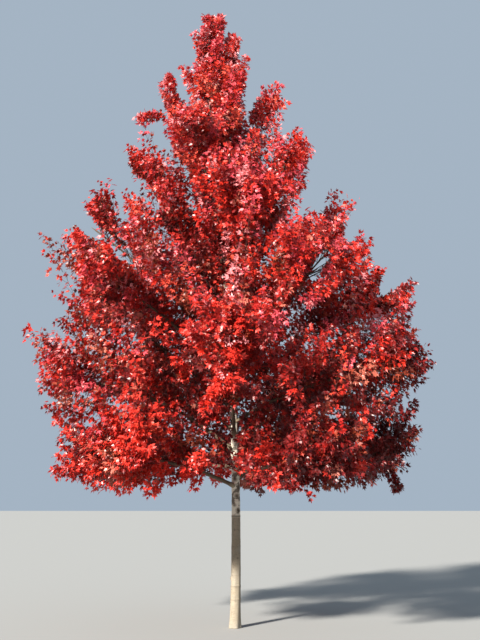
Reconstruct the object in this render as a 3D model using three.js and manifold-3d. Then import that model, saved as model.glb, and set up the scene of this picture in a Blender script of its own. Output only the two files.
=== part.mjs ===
// A young red maple in autumn leaf: a slim pale trunk that runs up through the foliage, boughs that leave it
// in tiers and climb outwards, and a mass of foliage at the end of each. A mass is twigs grown by a seeded
// rule from one stem, with blades that each stand for a spray of leaves. Millimetres and degrees, +Z up, and
// the origin on the ground under the trunk. A viewer in front looks along +Y and has +X to the right.
import * as THREE from "three";
import { mergeVertices } from "three/addons/utils/BufferGeometryUtils.js";
import Module from "manifold-3d";

// Driving dimensions of the whole crown: a spire above its widest height, a slight narrowing below it, and
// a low swell that winds round it.
const HEIGHT = 8000;
const SPREAD = 4760;
const WIDEST_HEIGHT = 3700;
const SKIRT_HEIGHT = 1520;
const SKIRT_NARROWING = 0.2;
const SPIRE_POWER = 1.05;
const SWELL = 130;
const SWELL_HEIGHT = 5970;
const SWELL_PITCH = 1280;
const UNDERSIDE_RISE = 330;
const UNDERSIDE_RADIUS = 1590;
const PLUME_ROOM = 150;

// The trunk: an even taper, a lobed root flare, a lean to the left and a slight bend each way.
const TRUNK_TOP = 7100;
const TRUNK_RADIUS = 62;
const TRUNK_TIP_RADIUS = 9;
const FLARE_WIDTH = 15;
const FLARE_HEIGHT = 110;
const FLARE_LOBES = 5;
const FLARE_LOBE_SHARE = 0.35;
const LEAN = 300;
const LEAN_POWER = 1.5;
const SWAY = 40;
const DEPTH_SWAY = 55;
const TRUNK_SIDES = 16;
const TRUNK_STEPS = 14;
const TRUNK_STEP_POWER = 1.6;

// Limbs: the bare inner share of a limb is its bough, and the rest is the stem of its mass.
const BARE_SHARE = 0.37;
const LIMB_RADIUS_SHARE = 0.5;
const LIMB_TIP_RADIUS = 9;
const LIMB_BOW = 0.09;
const COLLAR_SHARE = 0.45;
const COLLAR_LENGTH = 60;
const BOUGH_SIDES = 7;
const BOUGH_STEPS = 4;
const STEM_STEPS = 3;
const TWIG_SIDES = 3;
const NEARLY_UPRIGHT = 0.01;
const GAP = 0.3;

// Tiers from the ground up. count limbs leave the trunk between the two root heights, the first at bearing,
// and their tips stand about the tip height. rise is the climb where a limb leaves the trunk, lift how
// upright the shoots of its mass are, and spray the length of a blade. The spire's limbs have no bough.
const TIERS = {
  skirt: { count: 5, bearing: 228, root: [1640, 1960], tip: 1970, rise: 34, lift: 0, spray: 500 },
  lower: { count: 5, bearing: 192, root: [2060, 2420], tip: 2950, rise: 42, lift: 0.2, spray: 530 },
  middle: { count: 5, bearing: 156, root: [2560, 2980], tip: 4000, rise: 46, lift: 0.4, spray: 530 },
  upper: { count: 4, bearing: 4, root: [3120, 3560], tip: 4850, rise: 52, lift: 0.5, spray: 500 },
  shoulder: { count: 4, bearing: 162, root: [3780, 4380], tip: 5800, rise: 56, lift: 0.6, spray: 460 },
  crest: { count: 4, bearing: 22, root: [4720, 5240], tip: 6600, rise: 60, lift: 0.7, spray: 380 },
  spire: { count: 3, bearing: 350, root: [5750, 6300], tip: 7350, rise: 62, lift: 0.9, spray: 330 },
};
const LEADER = { lift: 1, spray: 300 };
const BEARING_SPREAD = 9;
const TIP_SPREAD = 90;
const REACH_SPREAD = 0.04;
const TIP_INSET = 0.4;
const LIMB_SEED = 20;

// The rule that grows a mass along its stem: pairs of shoots, each pair crosswise to the one before.
const SHOOT_NODES = 3;
const FIRST_NODE = 0.1;
const SPIRE_FIRST_NODE = 0.42;
const LAST_NODE = 0.8;
const END_SHOOT = 0.55;
const SHOOT_LENGTH = 1.17;
const SHOOT_TAPER = 0.35;
const SHOOT_SPREAD = 0.3;
const SHOOT_FORWARD = 0.62;
const SHOOT_SIDEWAYS = 0.82;
const SHOOT_RADIUS = 5;
const SHOOT_TIP_RADIUS = 4;
const SHOOT_SHRINKS = [1, 0.82, 0.66, 0.5];
const MASS_SEED = 9103;
const MASS_SEED_STEP = 31;

// Where sprays stand along a shoot and how they turn. Each place is tried with ever shorter sprays.
const SPRAY_PLACES = [0.42, 0.72, 0.995];
const SPRAY_FORWARD = 0.5;
const SPRAY_SIDEWAYS = 0.85;
const SPRAY_STRAY = 0.3;
const FACING_LIMB_SHARE = 0.3;
const FACING_UPWARD = 0.45;
const FACING_STRAY = 1.1;
const SPRAY_TRIES = 6;
const LONGEST_SPRAY = 1.1;
const SPRAY_DRAW_IN = 0.09;

// The space of a mass reaches up further than it does sideways, from a middle that lies along its stem.
const SPACE_MIDDLE = 0.56;
const SPIRE_SPACE_MIDDLE = 0.78;
const SPACE_RISE = 0.04;
const SPACE_FLATNESS = 0.72;
const SPACE_MARGIN = 2;
const TWIG_ROOM = 28;
const BLADE_ROOM = 2;
const SAMPLES = 8;

// A blade's outline in shares of its length, from its root round, and the low ridge on each of its faces.
const BLADE_OUTLINE = [
  [0, 0],
  [0.44, 0.46],
  [0, 1],
  [-0.44, 0.46],
];
const BLADE_RIDGE = 0.3;
const BLADE_THICKNESS = 0.03;
const SEAM = 0.1;
const WELD = 1e-3;

const BARK = { color: 0xb9a88c, roughness: 0.85, metalness: 0 };
const LEAF_COLOURS = [0xc01f1a, 0xa5161a, 0x7d1018, 0xd2402c, 0x8a2f1e];
const LEAF_ROUGHNESS = 0.6;

const UP = new THREE.Vector3(0, 0, 1);
const FRONT = new THREE.Vector3(0, -1, 0);
const { lerp, degToRad } = THREE.MathUtils;
const wasm = await Module();
wasm.setup();

// A repeatable stream of numbers from 0 to 1.
function seeded(seed) {
  let state = seed >>> 0;
  return () => {
    state = (state + 0x6d2b79f5) >>> 0;
    let mixed = Math.imul(state ^ (state >>> 15), state | 1);
    mixed ^= mixed + Math.imul(mixed ^ (mixed >>> 7), mixed | 61);
    return ((mixed ^ (mixed >>> 14)) >>> 0) / 4294967296;
  };
}

// The trunk's line at a height.
function trunkPoint(height) {
  const share = height / HEIGHT;
  const turn = 2 * Math.PI * share;
  const x = SWAY * Math.sin(turn) - LEAN * share ** LEAN_POWER;
  return new THREE.Vector3(x, DEPTH_SWAY * Math.sin(turn / 2), height);
}

function trunkRadius(height) {
  return lerp(TRUNK_RADIUS, TRUNK_TIP_RADIUS, height / TRUNK_TOP);
}

// How far the foliage reaches from the trunk's line at a height and a bearing.
function crownReach(height, bearing) {
  const swell = SWELL * Math.cos((2 * Math.PI * (height - SWELL_HEIGHT)) / SWELL_PITCH + bearing - Math.PI);
  if (height > WIDEST_HEIGHT) {
    const climb = Math.min((height - WIDEST_HEIGHT) / (HEIGHT - WIDEST_HEIGHT), 1);
    return (SPREAD / 2) * (1 - climb ** SPIRE_POWER) + swell * (1 - climb);
  }
  const drop = (WIDEST_HEIGHT - height) / (WIDEST_HEIGHT - SKIRT_HEIGHT);
  return (SPREAD / 2) * (1 - SKIRT_NARROWING * drop ** 2) + swell * (1 - drop);
}

// True inside the outline of the whole crown, whose underside is higher near the trunk.
function inCrown(point) {
  const middle = trunkPoint(point.z);
  const away = Math.hypot(point.x - middle.x, point.y - middle.y);
  const bearing = Math.atan2(point.y - middle.y, point.x - middle.x);
  const underside = SKIRT_HEIGHT + UNDERSIDE_RISE * Math.max(0, 1 - away / UNDERSIDE_RADIUS);
  return point.z > underside && point.z < HEIGHT && away < crownReach(point.z, bearing) + PLUME_ROOM;
}

// A curve that is one stretch of a longer one.
class Stretch extends THREE.Curve {
  constructor(whole, from, to) {
    super();
    this.whole = whole;
    this.from = from;
    this.to = to;
  }
  getPoint(share, target = new THREE.Vector3()) {
    return this.whole.getPoint(lerp(this.from, this.to, share), target);
  }
}

// A cylinder bent along a curve, with its own radius at each share of the length.
function bentTube(curve, radiusAt, sides, steps) {
  const tube = new THREE.CylinderGeometry(1, 1, 1, sides, steps);
  const place = tube.getAttribute("position");
  const level = new THREE.Vector3().crossVectors(UP, curve.getTangent(0.5));
  if (level.length() < NEARLY_UPRIGHT) level.set(1, 0, 0);
  const rings = Array.from({ length: steps + 1 }, (_, i) => {
    const ahead = curve.getTangent(i / steps);
    const side = level.clone().addScaledVector(ahead, -level.dot(ahead)).normalize();
    const under = side.clone().cross(ahead);
    return { centre: curve.getPoint(i / steps), side, under, radius: radiusAt(i / steps) };
  });
  for (let i = 0; i < place.count; i++) {
    const { centre, side, under, radius } = rings[Math.round((place.getY(i) + 0.5) * steps)];
    const point = centre.clone().addScaledVector(side, place.getX(i) * radius);
    point.addScaledVector(under, place.getZ(i) * radius);
    place.setXYZ(i, point.x, point.y, point.z);
  }
  return tube;
}

// The trunk, fattened by extra. Its rings are level, so that its foot is a flat cut at the ground, and they
// stand closer together towards the root flare.
function trunkGeometry(extra = 0) {
  const tube = new THREE.CylinderGeometry(1, 1, 1, TRUNK_SIDES, TRUNK_STEPS);
  const place = tube.getAttribute("position");
  for (let i = 0; i < place.count; i++) {
    const height = TRUNK_TOP * (place.getY(i) + 0.5) ** TRUNK_STEP_POWER;
    const angle = Math.atan2(place.getX(i), place.getZ(i));
    const lobe = 1 + FLARE_LOBE_SHARE * Math.cos(FLARE_LOBES * angle);
    const flare = FLARE_WIDTH * lobe * Math.exp(-height / FLARE_HEIGHT);
    const radius = trunkRadius(height) + flare + extra;
    const centre = trunkPoint(height);
    place.setXYZ(i, centre.x + place.getZ(i) * radius, centre.y + place.getX(i) * radius, height);
  }
  return tube;
}

// A blade that stands for a spray, from its root along a direction.
function bladeGeometry({ root, along, facing, length }) {
  const side = new THREE.Vector3().crossVectors(along, facing).normalize();
  const normal = new THREE.Vector3().crossVectors(side, along);
  const at = (x, y, z) => {
    const point = root.clone().addScaledVector(side, x * length);
    return point.addScaledVector(along, y * length).addScaledVector(normal, z * length);
  };
  const rim = BLADE_OUTLINE.map(([x, y]) => at(x, y, 0));
  const front = at(0, BLADE_RIDGE, BLADE_THICKNESS / 2);
  const back = at(0, BLADE_RIDGE, -BLADE_THICKNESS / 2);
  const corners = rim.flatMap((point, i) => {
    const next = rim[(i + 1) % rim.length];
    return [front, point, next, back, next, point];
  });
  return new THREE.BufferGeometry().setFromPoints(corners);
}

// A three.js geometry as a solid that can be joined and cut.
function solidFrom(geometry) {
  const bare = new THREE.BufferGeometry().setAttribute("position", geometry.getAttribute("position"));
  const merged = mergeVertices(bare.setIndex(geometry.index), WELD);
  const vertProperties = merged.getAttribute("position").array;
  const triVerts = new Uint32Array(merged.index.array);
  return new wasm.Manifold(new wasm.Mesh({ numProp: 3, vertProperties, triVerts }));
}

// A solid as a three.js geometry. Only its largest body is kept, which drops scraps and fills sealed hollows.
function geometryFrom(solid) {
  const bodies = solid.asOriginal().simplify(SEAM).decompose();
  const [largest] = bodies.sort((a, b) => b.volume() - a.volume());
  const { numProp, vertProperties, triVerts } = largest.getMesh();
  const geometry = new THREE.BufferGeometry();
  geometry.setAttribute("position", new THREE.BufferAttribute(vertProperties, numProp));
  return geometry.setIndex(new THREE.BufferAttribute(triVerts, 1));
}

// One limb of a tier: its curve from the trunk's line to its tip, its radius along it, the share of it that
// is bough, and where the first shoots of its mass stand.
function makeLimb(tierName, index, draw) {
  const tier = TIERS[tierName];
  const isSpire = tierName === "spire";
  const spread = (amount) => (2 * draw() - 1) * amount;
  const bearing = degToRad(tier.bearing + (360 / tier.count) * index + spread(BEARING_SPREAD));
  const outward = new THREE.Vector3(Math.cos(bearing), Math.sin(bearing), 0);
  const level = new THREE.Vector3().crossVectors(UP, outward);
  const rootHeight = lerp(...tier.root, ((index * 2) % tier.count) / (tier.count - 1));
  const tipHeight = tier.tip + spread(TIP_SPREAD);
  const reach = crownReach(tipHeight, bearing) * (1 + spread(REACH_SPREAD)) - tier.spray * TIP_INSET;
  const climb = Math.min((reach / 2) * Math.tan(degToRad(tier.rise)), tipHeight - rootHeight);
  const start = trunkPoint(rootHeight);
  const bend = start.clone().addScaledVector(outward, reach / 2).addScaledVector(UP, climb);
  bend.addScaledVector(level, spread(LIMB_BOW) * reach);
  const tip = trunkPoint(tipHeight).addScaledVector(outward, reach);
  const rootRadius = trunkRadius(rootHeight) * LIMB_RADIUS_SHARE;
  return {
    name: `${tierName}_${index + 1}`,
    tier,
    outward,
    curve: new THREE.QuadraticBezierCurve3(start, bend, tip),
    radiusAt: (share) => lerp(rootRadius, LIMB_TIP_RADIUS, share),
    bare: isSpire ? 0 : BARE_SHARE,
    firstNode: isSpire ? SPIRE_FIRST_NODE : FIRST_NODE,
    spaceMiddle: isSpire ? SPIRE_SPACE_MIDDLE : lerp(BARE_SHARE, 1, SPACE_MIDDLE),
  };
}

// The limb that carries on from the tip of the trunk.
function makeLeader() {
  const start = trunkPoint(TRUNK_TOP).addScaledVector(UP, GAP);
  return {
    name: "leader",
    tier: LEADER,
    outward: FRONT,
    curve: new THREE.LineCurve3(start, trunkPoint(HEIGHT - LEADER.spray)),
    radiusAt: () => TRUNK_TIP_RADIUS,
    bare: 0,
    firstNode: FIRST_NODE,
    spaceMiddle: SPACE_MIDDLE,
  };
}

function boughGeometry(limb) {
  const bough = new Stretch(limb.curve, 0, limb.bare);
  const length = bough.getLength();
  const radiusAt = (share) => {
    const collar = 1 + COLLAR_SHARE * Math.exp((-share * length) / COLLAR_LENGTH);
    return limb.radiusAt(share * limb.bare) * collar;
  };
  return bentTube(bough, radiusAt, BOUGH_SIDES, BOUGH_STEPS);
}

// The stem of a limb's mass, which begins a gap beyond the tip of its bough.
function stemGeometry(limb) {
  const stem = new Stretch(limb.curve, limb.bare + GAP / limb.curve.getLength(), 1);
  return bentTube(stem, (share) => limb.radiusAt(lerp(limb.bare, 1, share)), TWIG_SIDES, STEM_STEPS);
}

// The middle of the space that a mass keeps to.
function spaceMiddle(limb) {
  return limb.curve.getPoint(limb.spaceMiddle).addScaledVector(UP, limb.curve.getLength() * SPACE_RISE);
}

// True where a point is nearer to one middle than to any other, by a margin. Such spaces have flat walls, so
// that what has all its corners in one lies wholly in it.
function inOwnSpace(point, own, middles) {
  const squash = new THREE.Vector3(1, 1, SPACE_FLATNESS);
  const distance = (middle) => point.clone().sub(middle).multiply(squash).lengthSq();
  return middles.every((other) => {
    if (other === own) return true;
    const slope = 2 * own.clone().sub(other).multiply(squash).multiply(squash).length();
    return distance(other) - distance(own) > SPACE_MARGIN * slope;
  });
}

// A limb or the trunk as straight pieces, for finding how near a twig comes to it.
function straightPieces(points, radiusAt, limb) {
  return points.slice(1).map((end, i) => {
    return { line: new THREE.Line3(points[i], end), radius: radiusAt(i / SAMPLES), limb };
  });
}

function clearOfLimbs(point, pieces, limb) {
  const nearest = new THREE.Vector3();
  return pieces.every((piece) => {
    if (piece.limb === limb) return true;
    piece.line.closestPointToPoint(point, true, nearest);
    return nearest.distanceTo(point) > piece.radius + TWIG_ROOM;
  });
}

// The shoots of a mass: pairs along its stem, each drawn in until it fits its space, and the stem's own end.
function growShoots(limb, draw, fits) {
  const shoots = [];
  const stray = () => (draw() - 0.5) * SHOOT_SPREAD;
  for (let node = 0; node < SHOOT_NODES; node++) {
    const rank = node / (SHOOT_NODES - 1);
    const place = lerp(limb.bare, 1, lerp(limb.firstNode, LAST_NODE, rank));
    const from = limb.curve.getPoint(place);
    const ahead = limb.curve.getTangent(place);
    const level = new THREE.Vector3().crossVectors(UP, limb.outward);
    const above = new THREE.Vector3().crossVectors(ahead, level).normalize();
    for (const turn of [1, -1]) {
      const direction = ahead.clone().multiplyScalar(SHOOT_FORWARD);
      direction.addScaledVector(node % 2 ? above : level, turn * SHOOT_SIDEWAYS);
      direction.addScaledVector(UP, limb.tier.lift + stray()).normalize();
      const longest = SHOOT_LENGTH * limb.tier.spray * (1 - SHOOT_TAPER * rank) * (1 + stray());
      const choices = SHOOT_SHRINKS.map((shrink) => {
        return new THREE.LineCurve3(from, from.clone().addScaledVector(direction, longest * shrink));
      });
      const curve = choices.find((choice) => choice.getPoints(SAMPLES).every(fits));
      if (curve) shoots.push({ curve, turn });
    }
  }
  const end = new Stretch(limb.curve, lerp(limb.bare, 1, END_SHOOT), 1);
  shoots.push({ curve: end, turn: 1, isStem: true });
  return shoots;
}

// The sprays that could stand at one place of a shoot, from the longest to the shortest. Those along the
// shoot stand to its sides by turns, and the last one carries on from its tip.
function sprayChoices(shoot, placeIndex, limb, draw) {
  const place = SPRAY_PLACES[placeIndex];
  const isLast = placeIndex === SPRAY_PLACES.length - 1;
  const root = shoot.curve.getPoint(place);
  const ahead = shoot.curve.getTangent(place);
  const outward = root.clone().sub(trunkPoint(root.z)).normalize().lerp(limb.outward, FACING_LIMB_SHARE);
  const turn = shoot.turn * (placeIndex % 2 ? -1 : 1);
  return Array.from({ length: SPRAY_TRIES }, (_, tries) => {
    const stray = new THREE.Vector3(draw() - 0.5, draw() - 0.5, draw() - 0.5);
    const facing = outward.clone().addScaledVector(UP, FACING_UPWARD).addScaledVector(stray, FACING_STRAY);
    const sideways = new THREE.Vector3().crossVectors(facing, ahead).normalize().multiplyScalar(turn);
    const along = ahead.clone();
    if (!isLast) along.multiplyScalar(SPRAY_FORWARD).addScaledVector(sideways, SPRAY_SIDEWAYS);
    along.addScaledVector(stray, SPRAY_STRAY).normalize();
    return { root, along, facing, length: limb.tier.spray * (LONGEST_SPRAY - SPRAY_DRAW_IN * tries) };
  });
}

function cornersOf(geometry) {
  const place = geometry.getAttribute("position");
  return Array.from({ length: place.count }, (_, i) => new THREE.Vector3().fromBufferAttribute(place, i));
}

function touches(solid, others) {
  return others.some((other) => solid.minGap(other, BLADE_ROOM) < BLADE_ROOM);
}

// A mass as one solid: its stem, its shoots, and a blade at each place where one fits.
function massSolid(limb, index, middles, pieces, obstacles) {
  const draw = seeded(MASS_SEED + MASS_SEED_STEP * index);
  const inSpace = (point) => inOwnSpace(point, middles[index], middles) && inCrown(point);
  const shoots = growShoots(limb, draw, (point) => inSpace(point) && clearOfLimbs(point, pieces, limb));
  const shootRadius = (share) => lerp(SHOOT_RADIUS, SHOOT_TIP_RADIUS, share);
  const twigs = shoots.map(({ curve, isStem }) => {
    return solidFrom(isStem ? stemGeometry(limb) : bentTube(curve, shootRadius, TWIG_SIDES, 1));
  });
  const others = obstacles.filter((obstacle) => obstacle.limb !== limb).map(({ solid }) => solid);
  const blades = [];
  shoots.forEach((shoot, shootIndex) => {
    const otherTwigs = twigs.filter((_, i) => i !== shootIndex);
    for (const placeIndex of SPRAY_PLACES.keys()) {
      for (const choice of sprayChoices(shoot, placeIndex, limb, draw)) {
        const geometry = bladeGeometry(choice);
        if (!cornersOf(geometry).every(inSpace)) continue;
        const blade = solidFrom(geometry);
        if (touches(blade, otherTwigs) || touches(blade, blades) || touches(blade, others)) continue;
        blades.push(blade);
        break;
      }
    }
  });
  return wasm.Manifold.union([...twigs, ...blades]);
}

function mesh(name, geometry, material) {
  const made = new THREE.Mesh(geometry, new THREE.MeshStandardMaterial(material));
  made.name = name;
  return made;
}

const tree = new THREE.Group();
tree.add(mesh("trunk", trunkGeometry(), BARK));
const trunkWithGap = solidFrom(trunkGeometry(GAP));

const limbDraw = seeded(LIMB_SEED);
const limbs = Object.entries(TIERS).flatMap(([name, { count }]) => {
  return Array.from({ length: count }, (_, i) => makeLimb(name, i, limbDraw));
});
limbs.push(makeLeader());

const trunkPoints = Array.from({ length: SAMPLES + 1 }, (_, i) => trunkPoint((TRUNK_TOP * i) / SAMPLES));
const pieces = straightPieces(trunkPoints, (share) => trunkRadius(share * TRUNK_TOP), null);
const obstacles = [{ solid: trunkWithGap, limb: null }];
for (const limb of limbs) {
  pieces.push(...straightPieces(limb.curve.getPoints(SAMPLES), limb.radiusAt, limb));
  obstacles.push({ solid: solidFrom(stemGeometry(limb)), limb });
  if (limb.bare) {
    const bough = solidFrom(boughGeometry(limb)).subtract(trunkWithGap);
    tree.add(mesh(`bough_${limb.name}`, geometryFrom(bough), BARK));
    obstacles.push({ solid: bough, limb: null });
  }
}

const middles = limbs.map(spaceMiddle);
limbs.forEach((limb, i) => {
  const mass = massSolid(limb, i, middles, pieces, obstacles).subtract(trunkWithGap);
  const leaves = { color: LEAF_COLOURS[i % LEAF_COLOURS.length], roughness: LEAF_ROUGHNESS, metalness: 0 };
  tree.add(mesh(`foliage_${limb.name}`, geometryFrom(mass), leaves));
});

export default tree;
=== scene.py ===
"""A young red maple in autumn leaf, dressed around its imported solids.

The trunk and its limbs get a mesh with the bark's relief. Every mass of foliage is grown again by the rule
of the part's source, with the same draws, and carried on to finer twigs and to single leaves. Metres and
degrees, +Z up, and the origin on the ground under the trunk. The viewer in front looks along +Y and has +X
to the right.
"""

import sys

import logging
import math
from dataclasses import astuple, dataclass, field
from enum import Enum
from typing import Any, Self

import bpy
import numpy as np
from mathutils.kdtree import KDTree
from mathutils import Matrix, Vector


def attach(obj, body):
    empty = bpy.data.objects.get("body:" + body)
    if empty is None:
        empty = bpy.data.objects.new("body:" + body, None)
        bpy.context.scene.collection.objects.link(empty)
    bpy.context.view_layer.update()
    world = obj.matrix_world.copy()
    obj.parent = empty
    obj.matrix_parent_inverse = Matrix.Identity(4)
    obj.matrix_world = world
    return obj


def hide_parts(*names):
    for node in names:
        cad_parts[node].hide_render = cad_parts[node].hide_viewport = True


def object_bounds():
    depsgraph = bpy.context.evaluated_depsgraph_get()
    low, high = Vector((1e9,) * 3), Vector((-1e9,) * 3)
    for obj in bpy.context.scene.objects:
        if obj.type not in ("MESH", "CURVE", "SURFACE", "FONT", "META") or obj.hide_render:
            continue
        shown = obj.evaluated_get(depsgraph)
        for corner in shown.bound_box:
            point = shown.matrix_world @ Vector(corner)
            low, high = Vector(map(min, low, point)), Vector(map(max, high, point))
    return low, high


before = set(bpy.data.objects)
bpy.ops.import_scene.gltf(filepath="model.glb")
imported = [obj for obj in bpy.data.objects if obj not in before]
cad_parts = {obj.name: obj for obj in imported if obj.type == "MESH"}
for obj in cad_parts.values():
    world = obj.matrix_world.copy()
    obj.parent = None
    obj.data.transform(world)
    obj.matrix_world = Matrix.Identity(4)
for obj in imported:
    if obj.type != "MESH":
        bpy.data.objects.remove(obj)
cad_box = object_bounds()

UP = np.array([0.0, 0.0, 1.0])
FRONT = np.array([0.0, -1.0, 0.0])
VIEWER = (0.062, -11.0, 1.6)
TINY = 1e-9
NEARLY_UPRIGHT = 0.97
GOLDEN_ANGLE = math.pi * (3 - math.sqrt(5))
LOG = logging.getLogger("maple")


# Small sums on points and directions.


def unit(vectors: np.ndarray) -> np.ndarray:
    """Returns the vectors at length 1, over the last axis."""
    return vectors / np.maximum(np.linalg.norm(vectors, axis=-1, keepdims=True), TINY)


def between(low: Any, high: Any, share: Any) -> Any:
    """Returns the value at a share of the way from low to high."""
    return low + (high - low) * share


def towards(bearing: float) -> np.ndarray:
    """Returns the level direction at a bearing in radians."""
    return np.array([math.cos(bearing), math.sin(bearing), 0.0])


def crosswise(ahead: np.ndarray) -> tuple[np.ndarray, np.ndarray]:
    """Finds two directions square to each of the given ones.

    Args:
        ahead: Unit directions, any shape with 3 as its last axis.

    Returns:
        A level direction and the one that is square to both, both at length 1.
    """
    upright = np.abs(ahead[..., 2:3]) > NEARLY_UPRIGHT
    level = unit(np.cross(np.where(upright, -FRONT, UP), ahead))
    return level, np.cross(ahead, level)


class Draws:
    """A repeatable stream of numbers from 0 to 1, the same one as in the part's source."""

    WORD = 0xFFFFFFFF
    STEP = 0x6D2B79F5

    def __init__(self, seed: int) -> None:
        """Starts the stream at a seed."""
        self.state = seed & self.WORD

    def one(self) -> float:
        """Draws the next number.

        Returns:
            A number from 0 to 1.
        """
        self.state = (self.state + self.STEP) & self.WORD
        mixed = ((self.state ^ (self.state >> 15)) * (self.state | 1)) & self.WORD
        mixed ^= (mixed + (((mixed ^ (mixed >> 7)) * (mixed | 61)) & self.WORD)) & self.WORD
        return (mixed ^ (mixed >> 14)) / (self.WORD + 1)

    def spread(self, amount: float) -> float:
        """Returns a draw from minus the amount to plus the amount."""
        return (2 * self.one() - 1) * amount

    def stray(self) -> np.ndarray:
        """Returns three draws from -0.5 to 0.5 as a vector."""
        return np.array([self.one() - 0.5, self.one() - 0.5, self.one() - 0.5])


# The form of the tree: the same named values as in the part's source, in metres.


@dataclass(frozen=True)
class CrownForm:
    """The trunk's line and the outline that the whole crown keeps to."""

    height: float = 8.0
    spread: float = 4.76
    widest_height: float = 3.7
    skirt_height: float = 1.52
    skirt_narrowing: float = 0.2
    spire_power: float = 1.05
    swell: float = 0.13
    swell_height: float = 5.97
    swell_pitch: float = 1.28
    underside_rise: float = 0.33
    underside_radius: float = 1.59
    plume_room: float = 0.15
    trunk_top: float = 7.1
    trunk_radius_foot: float = 0.062
    trunk_radius_tip: float = 0.009
    lean: float = 0.3
    lean_power: float = 1.5
    sway: float = 0.04
    depth_sway: float = 0.055

    def trunk_point(self, height: Any) -> np.ndarray:
        """Finds the trunk's line.

        Args:
            height: One height or an array of heights.

        Returns:
            The point or points of the line at those heights.
        """
        share = np.maximum(np.asarray(height, float) / self.height, 0)
        turn = 2 * math.pi * share
        x = self.sway * np.sin(turn) - self.lean * share**self.lean_power
        return np.stack([x, self.depth_sway * np.sin(turn / 2), share * self.height], axis=-1)

    def trunk_radius(self, height: Any) -> Any:
        """Returns the trunk's radius at a height, without the root flare."""
        return between(self.trunk_radius_foot, self.trunk_radius_tip, height / self.trunk_top)

    def reach(self, height: Any, bearing: Any) -> Any:
        """Finds how far the foliage reaches from the trunk's line.

        Args:
            height: One height or an array of heights.
            bearing: The bearing or bearings in radians.

        Returns:
            The reach at each height and bearing.
        """
        turns = (height - self.swell_height) / self.swell_pitch
        swell = self.swell * np.cos(2 * math.pi * turns + bearing - math.pi)
        climb = np.clip((height - self.widest_height) / (self.height - self.widest_height), 0, 1)
        drop = np.maximum((self.widest_height - height) / (self.widest_height - self.skirt_height), 0)
        above = self.spread / 2 * (1 - climb**self.spire_power) + swell * (1 - climb)
        below = self.spread / 2 * (1 - self.skirt_narrowing * drop**2) + swell * (1 - drop)
        return np.where(height > self.widest_height, above, below)

    def aside(self, points: np.ndarray) -> tuple[np.ndarray, np.ndarray]:
        """Returns how far points, with 3 as their last axis, are from the trunk's line, and their bearing."""
        off = points - self.trunk_point(points[..., 2])
        return np.hypot(off[..., 0], off[..., 1]), np.arctan2(off[..., 1], off[..., 0])

    def holds(self, points: np.ndarray, slack: float = 0.0) -> np.ndarray:
        """Tells which points are inside the outline of the whole crown.

        Args:
            points: Points, any shape with 3 as its last axis.
            slack: How far outside a point may still be.

        Returns:
            True or False for each point.
        """
        height = points[..., 2]
        away, bearing = self.aside(points)
        rise = self.underside_rise * np.maximum(0, 1 - away / self.underside_radius)
        level = (height > self.skirt_height + rise - slack) & (height < self.height + slack)
        return level & (away < self.reach(height, bearing) + self.plume_room + slack)


@dataclass(frozen=True)
class Tier:
    """Limbs that leave the trunk between two heights and end about one other height."""

    name: str
    count: int
    bearing: float
    roots: tuple[float, float]
    tip: float
    rise: float
    lift: float
    spray: float


TIERS = (
    Tier("skirt", 5, 228, (1.64, 1.96), 1.97, 34, 0.0, 0.5),
    Tier("lower", 5, 192, (2.06, 2.42), 2.95, 42, 0.2, 0.53),
    Tier("middle", 5, 156, (2.56, 2.98), 4.0, 46, 0.4, 0.53),
    Tier("upper", 4, 4, (3.12, 3.56), 4.85, 52, 0.5, 0.5),
    Tier("shoulder", 4, 162, (3.78, 4.38), 5.8, 56, 0.6, 0.46),
    Tier("crest", 4, 22, (4.72, 5.24), 6.6, 60, 0.7, 0.38),
    Tier("spire", 3, 350, (5.75, 6.3), 7.35, 62, 0.9, 0.33),
)
LEADER = Tier("leader", 1, 0, (7.1, 7.1), 7.7, 90, 1.0, 0.3)


@dataclass
class Limb:
    """One limb: a curve from the trunk's line to its tip, whose inner share is bare."""

    name: str
    tier: Tier
    outward: np.ndarray
    start: np.ndarray
    bend: np.ndarray
    tip: np.ndarray
    root_radius: float
    tip_radius: float
    bare: float
    first_node: float
    space_middle: float

    def point(self, share: Any) -> np.ndarray:
        """Returns the limb's line at a share, or at an array of shares, of the way along it."""
        t = np.asarray(share, float)[..., None]
        return (1 - t) ** 2 * self.start + 2 * t * (1 - t) * self.bend + t**2 * self.tip

    def ahead(self, share: Any) -> np.ndarray:
        """Returns the direction of the limb's line at a share of the way along it."""
        t = np.asarray(share, float)[..., None]
        return unit((1 - t) * (self.bend - self.start) + t * (self.tip - self.bend))

    def radius(self, share: Any) -> Any:
        """Returns the limb's radius at a share of the way along it."""
        return between(self.root_radius, self.tip_radius, share)

    def length(self, steps: int = 200) -> float:
        """Returns the length of the limb's line."""
        points = self.point(np.linspace(0, 1, steps + 1))
        return float(np.linalg.norm(np.diff(points, axis=0), axis=1).sum())

    def middle(self, rise: float) -> np.ndarray:
        """Returns the middle of the space that the limb's mass keeps to."""
        return self.point(self.space_middle) + UP * self.length() * rise


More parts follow.
